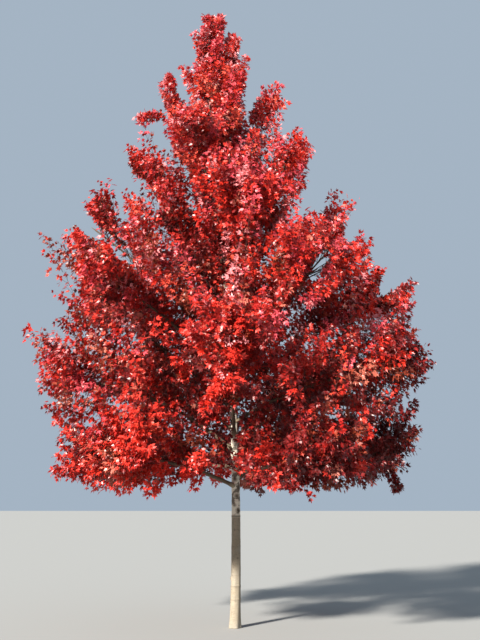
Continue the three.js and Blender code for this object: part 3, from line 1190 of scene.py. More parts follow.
@dataclass(frozen=True)
class BarkFinish:
    """Smooth pale bark with level pores, broad patches, fine cracks and darker marks; higher up it darkens as
    younger bark and painted shade, and on the trunk it has painted sunlight and painted leaf shadow.
    """

    name: str
    pale: Colour
    tan: Colour
    grey: Colour
    dark: Colour
    # upper: the paler colour of painted sunlight on the trunk above a set height
    upper: Colour = (0.8, 0.74, 0.62, 1)
    # young: the colour that the bark darkens to higher up, as darker young bark and as painted shade inside
    # the crown
    young: Colour = (0.1, 0.072, 0.05, 1)
    patches: Pattern = Pattern(2.4, 5, 0.4, 4)
    weathering: Pattern = Pattern(9.6, 6, 0.52, 5, 0.55)
    pores: Pattern = Pattern(24, 4, 0.56, 9, 0.5)
    cracks: Pattern = Pattern(34, 3, 0.6, 8, 0.3)
    # Dark dapples of painted leaf shadow over the painted sunlight; None leaves both out
    blotches: Pattern | None = None
    # Where the painted sunlight sets in, the length over which it comes and its share
    upper_climb: Climb = Climb(1.27, 0.05, 0.75)
    # Where that darkening of young bark and painted shade sets in, its length and its share
    young_climb: Climb = Climb(2.6, 1.4, 0.9)
    pore_flatness: float = 9
    crack_length: float = 7
    grain_scale: float = 210
    grain_detail: float = 3
    grain_share: float = 0.7
    grain_relief: float = 0.35
    pit_depth: float = 0.5
    worn_height: float = 0.12
    worn_share: float = 0.5
    scar_edge: float = 1.4
    root_near: float = 0.075
    root_far: float = 0.16
    roughness: float = 0.78
    roughness_spread: float = 0.15
    patch_polish: float = 0.4
    shine: float = 0.3
    bump_strength: float = 0.7
    bump_depth: float = 0.0016

    def material(
        self,
        marks: list[tuple[np.ndarray, Mark]],
        rings: tuple[Ring, ...],
        crown: CrownForm,
        root_colour: Colour | None,
    ) -> bpy.types.Material:
        """Lays out the material.

        Args:
            marks: Each dark mark with its place on the bark: scars, and spots of painted leaf shadow.
            rings: The ridges round the trunk.
            crown: The form that holds the trunk's line.
            root_colour: The colour that the bark turns to close by the trunk's line, or None.

        Returns:
            The material.
        """
        bench = Bench(self.name)
        where = bench.node("ShaderNodeTexCoord", {}, {}, "Object")
        height = bench.node("ShaderNodeSeparateXYZ", {}, {0: where}, "Z")
        level, upright = (
            bench.node("ShaderNodeMapping", {}, {"Vector": where, "Scale": (1, 1, scale)})
            for scale in (self.pore_flatness, 1 / self.crack_length)
        )
        patches = self.patches.on(bench, where)
        pores = self.pores.on(bench, level)
        cracks = self.cracks.on(bench, upright)
        grain = bench.noise(where, self.grain_scale, self.grain_detail)
        colour = bench.mixed(patches, self.pale, self.tan)
        worn = (1 - height / self.worn_height).clamped()
        for share, other in (
            (self.weathering.on(bench, where) * self.weathering.share, self.grey),
            (pores * self.pores.share, self.dark),
            (cracks * self.cracks.share, self.dark),
            ((grain - 0.5) * self.grain_share, self.dark),
            (worn * self.worn_share, self.grey),
        ):
            colour = bench.mixed(share, colour, other)
        # Painted sunlight and painted leaf shadow: above a set height the bark turns to the paler upper
        # colour, dappled with dark spots
        if self.blotches:
            upper = self.upper_climb.at(height)
            colour = bench.mixed(upper * self.upper_climb.share, colour, self.upper)
            blotches = self.blotches.on(bench, where) * upper
            colour = bench.mixed(blotches * self.blotches.share, colour, self.dark)
        # Higher up the bark darkens, as younger bark and as painted shade inside the crown
        young = self.young_climb.at(height)
        if root_colour:
            rooted = self.close_by(bench, where, height, crown) * (1 - young)
            colour = bench.mixed(rooted, colour, root_colour)
        else:
            colour = bench.mixed(young * self.young_climb.share, colour, self.young)
        relief = grain * self.grain_relief - pores * self.pit_depth - cracks * self.pit_depth
        for ring in rings:
            band = (1 - abs(height - ring.height) / ring.width).clamped()
            colour = bench.mixed(band * ring.darkness, colour, self.dark)
        # Each mark darkens the bark round it: scars, and spots of painted leaf shadow
        for place, mark in marks:
            inputs = {0: where, 1: tuple(place)}
            away = bench.node("ShaderNodeVectorMath", {"operation": "DISTANCE"}, inputs, "Value")
            scar_and_shadow = (self.scar_edge - away / mark.size + (grain - 0.5)).clamped()
            colour = bench.mixed(scar_and_shadow * mark.darkness, colour, self.dark)
        inputs = {"Strength": self.bump_strength, "Distance": self.bump_depth, "Height": relief}
        bump = bench.node("ShaderNodeBump", {}, inputs)
        rough = self.roughness + (pores - patches * self.patch_polish) * self.roughness_spread
        inputs = {"Base Color": colour, "Roughness": rough, "Normal": bump, "Specular IOR Level": self.shine}
        return bench.finished(bench.node("ShaderNodeBsdfPrincipled", {}, inputs))

    def close_by(self, bench: Bench, where: Signal, height: Signal, crown: CrownForm) -> Signal:
        """Works out how close a point of a limb is to the trunk's line.

        Args:
            bench: The material's tree.
            where: The point.
            height: Its height.
            crown: The form that holds the trunk's line.

        Returns:
            A value from 1 at the trunk to 0 further out.
        """
        across, deep = (bench.node("ShaderNodeSeparateXYZ", {}, {0: where}, axis) for axis in "XY")
        share = height / crown.height
        turn = share * (2 * math.pi)
        across = across - turn.maths("SINE", turn) * crown.sway
        across = across + share.maths("POWER", share, crown.lean_power) * crown.lean
        deep = deep - turn.maths("SINE", turn * 0.5) * crown.depth_sway
        away = across.maths("SQRT", across * across + deep * deep)
        return ((self.root_far - away) / (self.root_far - self.root_near)).clamped()


@dataclass(frozen=True)
class PlainFinish:
    """One even colour, for joined leaves, for twigs and for the floor."""

    name: str
    slot: str
    colour: tuple[float, float, float]
    roughness: float = 0.4
    shine: float = 0.6
    glow: float = 0.0

    def material(self) -> bpy.types.Material:
        """Lays out the material, with a share of light that comes through a leaf from behind.

        Returns:
            The material.
        """
        bench = Bench(self.name)
        colour = (*self.colour, 1.0)
        inputs = {"Base Color": colour, "Roughness": self.roughness, "Specular IOR Level": self.shine}
        surface = bench.node("ShaderNodeBsdfPrincipled", {}, inputs)
        if self.glow:
            through = bench.node("ShaderNodeBsdfTranslucent", {}, {"Color": colour})
            surface = bench.node("ShaderNodeMixShader", {}, {0: self.glow, 1: surface, 2: through})
        return bench.finished(surface)


@dataclass(frozen=True)
class TintPlace:
    """How often a tint is dealt out, and how that changes with the place of a spray in the crown, which
    paints light and shade into the leaves.
    """

    share: float
    # outer: dark tints deeper in the crown, bright ones outward, as painted shade
    outer: float
    # sunny: bright tints on the upper right, as painted sunlight
    sunny: float
    # high: pale tints at the top as painted highlight, dark ones low down as painted shade
    high: float
    # shade: dark tints low on the right and at the right edge, as painted shade
    shade: float


class Tint(Enum):
    """The leaves' autumn tints: the slot's kind, the colour, the light let through and the places."""

    SCARLET = "scarlet", (0.54, 0.022, 0.010), 0.18, TintPlace(1.6, 1.0, 0.9, 0.0, -3.0)
    FLAME = "scarlet", (0.66, 0.034, 0.02), 0.18, TintPlace(0.9, 1.0, 1.2, -0.5, -2.4)
    CRIMSON = "crimson", (0.38, 0.013, 0.009), 0.18, TintPlace(1.6, 0.0, -0.6, 0.4, -1.6)
    # ROSE and BLUSH stand partly for the leaves' paler undersides and partly for painted highlights of sun
    # and sky, dealt most at the top
    ROSE = "coral", (0.60, 0.065, 0.085), 0.18, TintPlace(0.6, 0.6, 0.4, 1.8, -1.0)
    BLUSH = "coral", (0.72, 0.23, 0.24), 0.18, TintPlace(0.4, 0.6, 0.6, 1.4, -1.0)
    CORAL = "coral", (0.66, 0.075, 0.042), 0.18, TintPlace(0.5, 0.3, 0.5, 0.6, -1.5)
    WINE = "wine", (0.20, 0.008, 0.007), 0.16, TintPlace(1.4, -2.0, -1.0, -0.6, 8.5)
    MAROON = "wine", (0.11, 0.006, 0.005), 0.16, TintPlace(1.0, -1.9, -0.6, -0.7, 8.5)
    RUSSET = "russet", (0.26, 0.04, 0.018), 0.16, TintPlace(0.5, -0.3, -0.9, -0.5, 1.0)
    COPPER = "russet", (0.46, 0.12, 0.08), 0.16, TintPlace(0.2, 0.2, -0.4, -0.5, -1.5)

    @property
    def finish(self) -> PlainFinish:
        """Returns the tint's finish."""
        kind, colour, glow, _ = self.value
        return PlainFinish(f"leaf_{self.name.lower()}", f"leaf_{kind}", colour, glow=glow)

    @property
    def place(self) -> TintPlace:
        """Returns the tint's places."""
        return self.value[3]


# Pieces.


def joined_mesh(name: str, points: np.ndarray, triangles: np.ndarray, smooth: bool) -> bpy.types.Object:
    """Makes one object from arrays.

    Args:
        name: The object's name.
        points: Its corners as (n, 3).
        triangles: Its faces as (m, 3).
        smooth: True for smooth shading.

    Returns:
        The object.
    """
    mesh = bpy.data.meshes.new(name)
    mesh.vertices.add(len(points))
    mesh.vertices.foreach_set("co", points.astype(np.float32).ravel())
    mesh.loops.add(triangles.size)
    mesh.loops.foreach_set("vertex_index", triangles.astype(np.int32).ravel())
    mesh.polygons.add(len(triangles))
    mesh.polygons.foreach_set("loop_start", np.arange(0, triangles.size, 3, dtype=np.int32))
    mesh.polygons.foreach_set("use_smooth", np.full(len(triangles), smooth))
    mesh.update(calc_edges=True)
    mesh.validate()
    piece = bpy.data.objects.new(name, mesh)
    bpy.context.collection.objects.link(piece)
    return piece


def corners_of(piece: bpy.types.Object) -> np.ndarray:
    """Reads the corners of a mesh.

    Args:
        piece: The piece with the mesh.

    Returns:
        The corners as (n, 3).
    """
    flat = np.empty(len(piece.data.vertices) * 3)
    piece.data.vertices.foreach_get("co", flat)
    return flat.reshape(-1, 3)


def move_corners(piece: bpy.types.Object, points: np.ndarray) -> None:
    """Puts the corners of a mesh at new places."""
    piece.data.vertices.foreach_set("co", points.ravel())
    piece.data.update()


def dressed(piece: bpy.types.Object, material: bpy.types.Material, nodes: list[str]) -> None:
    """Gives a piece its material and its body, and hides the solids that it stands for.

    Args:
        piece: The finished piece.
        material: Its material.
        nodes: The names of the solids that it replaces.
    """
    piece.data.materials.clear()
    piece.data.materials.append(material)
    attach(piece, "root")
    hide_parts(*nodes)
    LOG.info("%s: %d faces, for %d solids", piece.name, len(piece.data.polygons), len(nodes))


def roughened(piece: bpy.types.Object, size: float, depth: float) -> None:
    """Gives a piece an uneven surface with a Displace modifier.

    Args:
        piece: The piece, which is the active object.
        size: The size of the unevenness.
        depth: How far it goes in and out, from the highest to the lowest.
    """
    pattern = bpy.data.textures.new(f"{piece.name}_uneven", "CLOUDS")
    pattern.noise_scale = size
    bpy.ops.object.modifier_add(type="DISPLACE")
    modifier = piece.modifiers[-1]
    modifier.texture = pattern
    modifier.texture_coords = "LOCAL"
    modifier.strength = depth
    bpy.ops.object.modifier_apply(modifier=modifier.name)


def disc(name: str, sides: int, radius: float, centre: np.ndarray) -> bpy.types.Object:
    """Adds a flat disc and leaves it selected in edit mode, ready to be drawn out.

    Args:
        name: The new object's name.
        sides: The number of its corners.
        radius: Its radius.
        centre: Its middle.

    Returns:
        The object.
    """
    bpy.ops.object.select_all(action="DESELECT")
    bpy.ops.mesh.primitive_circle_add(vertices=sides, radius=radius, fill_type="NGON", location=tuple(centre))
    piece = bpy.context.object
    piece.name = piece.data.name = name
    bpy.ops.object.transform_apply(location=True, rotation=True, scale=True)
    bpy.ops.object.mode_set(mode="EDIT")
    bpy.ops.mesh.select_all(action="SELECT")
    return piece


def faced_outward() -> None:
    """Turns all faces of the mesh in edit mode outward and leaves edit mode."""
    bpy.ops.mesh.select_all(action="SELECT")
    bpy.ops.mesh.normals_make_consistent(inside=False)
    bpy.ops.object.mode_set(mode="OBJECT")


def drawn_out(centres: np.ndarray, radii: np.ndarray) -> None:
    """Draws the selected face of a mesh out through a row of level rings, into a closed mesh.

    Args:
        centres: The middle of each ring, the first of which is there already.
        radii: The radius of each ring.
    """
    for i in range(1, len(centres)):
        step = centres[i] - centres[i - 1]
        bpy.ops.mesh.extrude_region_move(TRANSFORM_OT_translate={"value": tuple(step)})
        ratio = radii[i] / radii[i - 1]
        bpy.ops.transform.resize(value=(ratio, ratio, 1), center_override=tuple(centres[i]))
    faced_outward()


def off_bearing(bearing: np.ndarray, middle: float) -> np.ndarray:
    """Returns how far bearings are from a middle one, from minus half a turn to plus half a turn."""
    return (bearing - middle + math.pi) % (2 * math.pi) - math.pi


@dataclass
class TrunkBark:
    """The trunk with the relief of its bark: root flare, collars under the limbs, rings and scars."""

    crown: CrownForm
    limbs: list[Limb]
    sides: int = 72
    fine_step: float = 0.011
    fine_top: float = 2.1
    coarse_step: float = 0.05
    flare_width: float = 0.015
    flare_height: float = 0.11
    flare_lobes: int = 5
    flare_lobe_share: float = 0.35
    tip_rounding: float = 0.4
    tip_height: float = 0.004
    collar_swell: float = 0.42
    collar_rise: float = 0.8
    collar_width: float = 1.5
    collar_drop: float = 0.55
    waves: tuple[tuple[float, float, float, float], ...] = ((0.0009, 3, 2.1, 0), (0.0007, 7, -3.3, 1))
    ring_wobble: float = 0.006
    ring_turn: float = 40
    groove_depth: float = 0.5
    groove_place: float = 1.6
    groove_sharpness: float = 3
    scar_rim: float = 1.5
    scar_hollow: float = 0.9
    scar_sharpness: float = 5
    plain_foot: float = 0.02
    unevenness: tuple[tuple[float, float], ...] = ((0.05, 0.003), (0.012, 0.0012))
    rings: tuple[Ring, ...] = (
        Ring(0.32, 0.012, 0.0022, 0.35),
        Ring(0.475, 0.014, 0.0034, 0.4),
        Ring(0.60, 0.010, 0.0014, 0.2),
        Ring(0.93, 0.012, 0.0012, 0.15),
        Ring(1.29, 0.013, 0.0026, 0.8),
        Ring(1.47, 0.012, 0.0016, 0.35),
    )
    marks: tuple[Mark, ...] = (
        Mark(0.565, 196, 0.016, 0.011, 0.75),
        Mark(0.80, 290, 0.013, 0.003, 0.5),
        Mark(1.13, 250, 0.012, 0.003, 0.5),
        # The dark of the five marks from 1.36 m to 1.73 m on the trunk's front is painted leaf shadow round a
        # small swell of relief
        Mark(1.36, 300, 0.030, 0.006, 0.9),
        Mark(1.42, 250, 0.022, 0.005, 0.8),
        Mark(1.53, 282, 0.034, 0.006, 0.9),
        Mark(1.62, 318, 0.030, 0.005, 0.9),
        Mark(1.73, 264, 0.030, 0.006, 0.9),
        Mark(0.42, 60, 0.014, 0.004, 0.6),
        Mark(0.98, 120, 0.018, 0.004, 0.6),
    )
    finish: BarkFinish = BarkFinish(
        "bark_trunk",
        pale=(0.31, 0.262, 0.195, 1),
        tan=(0.235, 0.187, 0.125, 1),
        grey=(0.30, 0.275, 0.23, 1),
        dark=(0.07, 0.052, 0.036, 1),
        # Dapples of painted leaf shadow on painted sunlight high on the trunk
        blotches=Pattern(15, 2, 0.52, 14, 0.85),
    )

    def radius(self, height: np.ndarray, lobe: Any = 1) -> np.ndarray:
        """Returns the trunk's radius with its root flare, which a lobe makes wider or narrower."""
        return self.crown.trunk_radius(height) + self.flare_width * lobe * np.exp(-height / self.flare_height)

    def lobed_radius(self, height: np.ndarray, bearing: np.ndarray) -> np.ndarray:
        """Returns the trunk's radius with its lobed root flare, as in the part's source."""
        return self.radius(height, 1 + self.flare_lobe_share * np.cos(self.flare_lobes * bearing))

    def place(self, mark: Mark) -> np.ndarray:
        """Finds the place of a mark.

        Args:
            mark: The mark.

        Returns:
            The point on the bark.
        """
        bearing = math.radians(mark.bearing)
        radius = self.lobed_radius(np.array(mark.height), np.array(bearing))
        return self.crown.trunk_point(mark.height) + towards(bearing) * radius

    def relief(self, height: np.ndarray, bearing: np.ndarray) -> np.ndarray:
        """Works out how far the bark stands proud.

        Args:
            height: The height of each corner.
            bearing: The bearing of each corner from the trunk's line.

        Returns:
            The height of the relief at each corner.
        """
        radius = self.crown.trunk_radius(height)
        proud = sum(
            swell * np.cos(lobes * bearing + twist * height + start)
            for swell, lobes, twist, start in self.waves
        )
        for ring in self.rings:
            wobble = self.ring_wobble * np.cos(bearing + self.ring_turn * ring.height)
            off = (height - ring.height - wobble) / ring.width
            groove = np.exp(-((off - self.groove_place) ** 2) * self.groove_sharpness)
            groove = ring.swell * self.groove_depth * groove
            proud = proud + ring.swell * np.exp(-(off**2)) - groove
        for mark in self.marks:
            turn = off_bearing(bearing, math.radians(mark.bearing))
            away = np.hypot(turn * radius, height - mark.height) / mark.size
            hollow = self.scar_hollow * np.exp(-(away**2) * self.scar_sharpness)
            proud = proud + mark.swell * (self.scar_rim * np.exp(-(away**2)) - hollow)
        for limb in self.limbs:
            turn = off_bearing(bearing, math.atan2(limb.outward[1], limb.outward[0]))
            rise = height - limb.start[2] - self.collar_rise * limb.root_radius
            rise = rise * np.where(rise < 0, self.collar_drop, 1)
            away = np.hypot(turn * radius, rise) / (self.collar_width * limb.root_radius)
            proud = proud + self.collar_swell * limb.root_radius * np.exp(-(away**2))
        return proud * np.minimum(1, np.maximum(height, 0) / self.plain_foot)

    def build(self) -> bpy.types.Object:
        """Draws the trunk out ring by ring and carves its relief.

        Returns:
            The piece.
        """
        low = np.arange(0, self.fine_top, self.fine_step)
        steps = round((self.crown.trunk_top - self.fine_top) / self.coarse_step)
        high = np.linspace(self.fine_top, self.crown.trunk_top, steps + 1)
        heights = np.concatenate([low, high])
        centres = self.crown.trunk_point(heights)
        radii = self.radius(heights)
        centres = np.concatenate([centres, centres[-1:] + UP * self.tip_height])
        radii = np.append(radii, radii[-1] * self.tip_rounding)
        piece = disc("trunk_bark", self.sides, radii[0], centres[0])
        drawn_out(centres, radii)
        points = corners_of(piece)
        height = np.clip(points[:, 2], 0, self.crown.trunk_top)
        middle = self.crown.trunk_point(height)
        aside = points[:, :2] - middle[:, :2]
        bearing = np.arctan2(aside[:, 1], aside[:, 0])
        share = np.linalg.norm(aside, axis=1) / self.radius(height)
        wide = (self.lobed_radius(height, bearing) + self.relief(height, bearing)) * share
        points[:, 0] = middle[:, 0] + np.cos(bearing) * wide
        points[:, 1] = middle[:, 1] + np.sin(bearing) * wide
        move_corners(piece, points)
        for size, depth in self.unevenness:
            roughened(piece, size, depth)
        points = corners_of(piece)
        points[:, 2] = np.where(height < TINY, 0, points[:, 2])
        move_corners(piece, points)
        bpy.ops.object.shade_smooth()
        return piece

    def dress(self, piece: bpy.types.Object) -> bpy.types.Material:
        """Gives the trunk its bark.

        Args:
            piece: The piece to dress.

        Returns:
            The bark's material.
        """
        marks = [(self.place(mark), mark) for mark in self.marks]
        material = self.finish.material(marks, self.rings, self.crown, None)
        dressed(piece, material, ["trunk"])
        return material


@dataclass
class LimbBark:
    """The limbs of one tier, from the trunk to their tips, with the relief of their bark."""

    sides: int = 16
    rings: int = 34
    collar_share: float = 0.45
    collar_length: float = 0.06
    start_depth: float = 0.5
    node_swell: float = 0.12
    node_spacing: float = 0.17
    node_spread: float = 0.00012
    tip_start: float = 0.97
    tip_length: float = 0.045
    least_root_radius: float = 0.01
    unevenness: tuple[float, float] = (0.045, 0.004)
    # The limbs' bark is darker brown than the trunk's, and darkened further as painted shade for the inside
    # of the crown where the limbs stand
    finish: BarkFinish = BarkFinish(
        "bark_limbs",
        pale=(0.12, 0.088, 0.058, 1),
        tan=(0.085, 0.058, 0.038, 1),
        grey=(0.065, 0.053, 0.042, 1),
        dark=(0.022, 0.015, 0.011, 1),
        pores=Pattern(36, 4, 0.56, 9, 0.5),
        grain_scale=260,
    )

    def pattern(self) -> bpy.types.Object:
        """Draws out one straight limb of length and radius 1, which every limb is a copy of.

        Returns:
            The pattern limb.
        """
        shares = np.linspace(0, 1, self.rings + 1)
        piece = disc("limb_pattern", self.sides, 1.0, np.zeros(3))
        drawn_out(shares[:, None] * UP, np.ones(len(shares)))
        return piece

    def bent(self, pattern: bpy.types.Object, limb: Limb, crown: CrownForm) -> bpy.types.Object:
        """Copies the pattern limb and bends the copy along a limb's line.

        Args:
            pattern: The straight limb.
            limb: The limb to follow.
            crown: The form that holds the trunk's radius.

        Returns:
            The bent copy.
        """
        piece = pattern.copy()
        piece.data = pattern.data.copy()
        piece.name = piece.data.name = f"limb_{limb.name}"
        bpy.context.collection.objects.link(piece)
        points = corners_of(piece)
        length = limb.length()
        depth = self.start_depth if limb.root_radius > self.least_root_radius else 0
        inside = depth * crown.trunk_radius(limb.start[2]) / length
        share = between(inside, 1, points[:, 2])
        ahead = limb.ahead(share)
        level = np.cross(UP, limb.outward)
        side = unit(level - ahead * (ahead @ level)[:, None])
        under = np.cross(side, ahead)
        along = share * length
        swell = 1 + self.collar_share * np.exp(-along / self.collar_length)
        off_node = (along % self.node_spacing) - self.node_spacing / 2
        swell = swell + self.node_swell * np.exp(-(off_node**2) / self.node_spread)
        rounding = np.where(share > self.tip_start, 1 - (share - self.tip_start) / self.tip_length, 1)
        radius = limb.radius(share) * rounding
        offset = side * points[:, :1] + under * points[:, 1:2]
        move_corners(piece, limb.point(share) + offset * (radius * swell)[:, None])
        return piece

    def build(
        self, tier: str, limbs: list[Limb], pattern: bpy.types.Object, crown: CrownForm
    ) -> bpy.types.Object:
        """Builds the limbs of a tier as one piece.

        Args:
            tier: The tier's name.
            limbs: Its limbs.
            pattern: The straight limb.
            crown: The form that holds the trunk's radius.

        Returns:
            The piece.
        """
        copies = [self.bent(pattern, limb, crown) for limb in limbs]
        bpy.ops.object.select_all(action="DESELECT")
        for copy in copies:
            copy.select_set(True)
        piece = copies[0]
        bpy.context.view_layer.objects.active = piece
        if len(copies) > 1:
            bpy.ops.object.join()
        piece.name = piece.data.name = f"limbs_{tier}"
        bpy.ops.object.mode_set(mode="EDIT")
        faced_outward()
        roughened(piece, *self.unevenness)
        bpy.ops.object.shade_smooth()
        return piece


@dataclass
class TwigStock:
    """The finer twigs, joined into one mesh of thin tapering stems."""

    sides: int = 3
    finish: PlainFinish = PlainFinish("twig_bark", "bark", (0.06, 0.032, 0.026), 0.7, 0.3)

    def stems(self, lines: np.ndarray, radii: np.ndarray) -> tuple[np.ndarray, np.ndarray]:
        """Works out closed stems along lines.

        Args:
            lines: The points of each stem as (stems, points, 3).
            radii: The radius at each point, as one row for all stems or one row each.

        Returns:
            The corners and the triangles of all the stems.
        """
        stems, count, _ = lines.shape
        rings = count - 1
        radii = np.broadcast_to(radii, (stems, count))
        ahead = unit(np.gradient(lines, axis=1))
        side, above = crosswise(ahead)
        angle = np.arange(self.sides) * 2 * math.pi / self.sides
        around = side[:, :, None] * np.cos(angle)[:, None] + above[:, :, None] * np.sin(angle)[:, None]
        tube = lines[:, :rings, None] + around[:, :rings] * radii[:, :rings, None, None]
        points = np.concatenate([tube.reshape(stems, -1, 3), lines[:, -1:]], axis=1)
        faces = []
        for i in range(self.sides):
            j = (i + 1) % self.sides
            for ring in range(rings - 1):
                a, b = ring * self.sides + i, ring * self.sides + j
                faces += [(a, b, b + self.sides), (a, b + self.sides, a + self.sides)]
            faces.append(((rings - 1) * self.sides + i, (rings - 1) * self.sides + j, rings * self.sides))
        faces += [(0, i + 1, i) for i in range(1, self.sides - 1)]
        each = points.shape[1]
        triangles = np.array(faces)[None] + (np.arange(stems) * each)[:, None, None]
        return points.reshape(-1, 3), triangles.reshape(-1, 3)

    def build(self, name: str, parts: list[tuple[np.ndarray, np.ndarray]]) -> bpy.types.Object:
        """Joins several sets of stems into one piece.

        Args:
            name: The piece's name.
            parts: The corners and triangles of each set.

        Returns:
            The piece.
        """
        starts = np.cumsum([0, *(len(points) for points, _ in parts)])
        points = np.concatenate([points for points, _ in parts])
        triangles = np.concatenate([faces + start for (_, faces), start in zip(parts, starts)])
        return joined_mesh(name, points, triangles, True)


@dataclass
class Leaves(Rows):
    """Leaves as arrays: where each joins its twig, its directions, its size and its tint."""

    root: np.ndarray
    stalk: np.ndarray
    along: np.ndarray
    facing: np.ndarray
    size: np.ndarray
    tint: np.ndarray

    def tips(self, petiole: float) -> np.ndarray:
        """Returns the tip of each leaf."""
        size = self.size[:, None]
        return self.root + self.stalk * size * petiole + self.along * size


@dataclass
class LeafStock:
    """The leaves: lobed blades, cupped along the middle vein, on stalks, in pairs along the twigs."""

    foliage: Foliage
    outline: tuple[tuple[float, float, float], ...] = (
        (0.0, 0.0, 0.0),
        (0.31, 0.14, 0.05),
        (0.45, 0.62, -0.05),
        (0.15, 0.52, 0.04),
        (0.0, 1.0, -0.12),
        (-0.15, 0.52, 0.04),
        (-0.45, 0.62, -0.05),
        (-0.31, 0.14, 0.05),
    )
    vein: tuple[float, float, float] = (0.0, 0.38, -0.06)
    stalk_width: float = 0.014
    forward: float = 0.62
    sideways: float = 0.8
    upward: float = 0.15
    stalk_stray: float = 0.5
    droops: tuple[float, float] = (0.4, 1.9)
    outward: float = 0.25
    along_stray: float = 0.35
    face_outward: float = 0.75
    face_upward: float = 0.55
    face_stray: float = 1.5

    def along_twigs(self, twigs: Twigs, level: LeafLevel, random: np.random.Generator) -> Leaves:
        """Sets pairs of leaves along twigs, each pair crosswise to the one before, and one at each tip.

        Args:
            twigs: The twigs to dress.
            level: How the leaves stand on them.
            random: The stream for their strays.

        Returns:
            The leaves.
        """
        count = len(twigs)
        shares = np.linspace(level.first, 1, level.pairs)
        sets = []
        for node, share in enumerate(shares):
            root = twigs.point(share)
            ahead, side = twigs.fork(node, share)
            size = level.size * between(1, level.tip_share, share**2)
            for turn in (1, -1):
                stray = random.uniform(-0.5, 0.5, (count, 3)) * self.stalk_stray
                stalk = ahead * self.forward + side * turn * self.sideways + UP * self.upward + stray
                stalk = unit(stalk)
                sets.append(self.placed(twigs, root, stalk, size, random))
        sets.append(self.placed(twigs, twigs.tip, twigs.ahead(1.0), level.size * level.tip_share, random))
        return Leaves.together(sets)

    def placed(
        self, twigs: Twigs, root: np.ndarray, stalk: np.ndarray, size: float, random: np.random.Generator
    ) -> Leaves:
        """Places one leaf on each twig.

        Args:
            twigs: The twigs.
            root: Where each leaf joins its twig.
            stalk: The direction of each stalk.
            size: The length of a blade.
            random: The stream for the strays.

        Returns:
            The leaves.
        """
        count = len(twigs)
        sizes = size * (1 + random.uniform(-1, 1, count) * self.foliage.size_spread)
        droop = self.foliage.droop * random.uniform(*self.droops, (count, 1))
        stray = random.uniform(-0.5, 0.5, (count, 3)) * self.along_stray
        along = unit(stalk + twigs.outward * self.outward - UP * droop + stray)
        stray = random.uniform(-0.5, 0.5, (count, 3)) * self.face_stray
        facing = twigs.outward * self.face_outward + UP * self.face_upward + stray
        facing = unit(facing - along * (facing * along).sum(axis=1, keepdims=True))
        return Leaves(root, stalk, along, facing, sizes, twigs.tint)

    def build(self, name: str, leaves: Leaves) -> bpy.types.Object:
        """Joins leaves into one piece.

        Args:
            name: The piece's name.
            leaves: The leaves.

        Returns:
            The piece.
        """
        size = leaves.size[:, None]
        joint = leaves.root + leaves.stalk * size * self.foliage.petiole
        side = np.cross(leaves.along, leaves.facing)
        shape = np.array([*self.outline, self.vein])
        frame_of = np.stack([side, leaves.along, leaves.facing], axis=1)
        blade = joint[:, None] + np.einsum("kc,ncd->nkd", shape, frame_of) * size[:, None]
        half = side * size * self.stalk_width
        stalk = np.stack([leaves.root - half, leaves.root + half], axis=1)
        points = np.concatenate([blade, stalk], axis=1)
        rim = len(self.outline)
        faces = [(rim, (i + 1) % rim, i) for i in range(rim)]
        faces.append((rim + 1, rim + 2, 0))
        triangles = np.array(faces)[None] + (np.arange(len(size)) * points.shape[1])[:, None, None]
        return joined_mesh(name, points.reshape(-1, 3), triangles.reshape(-1, 3), False)


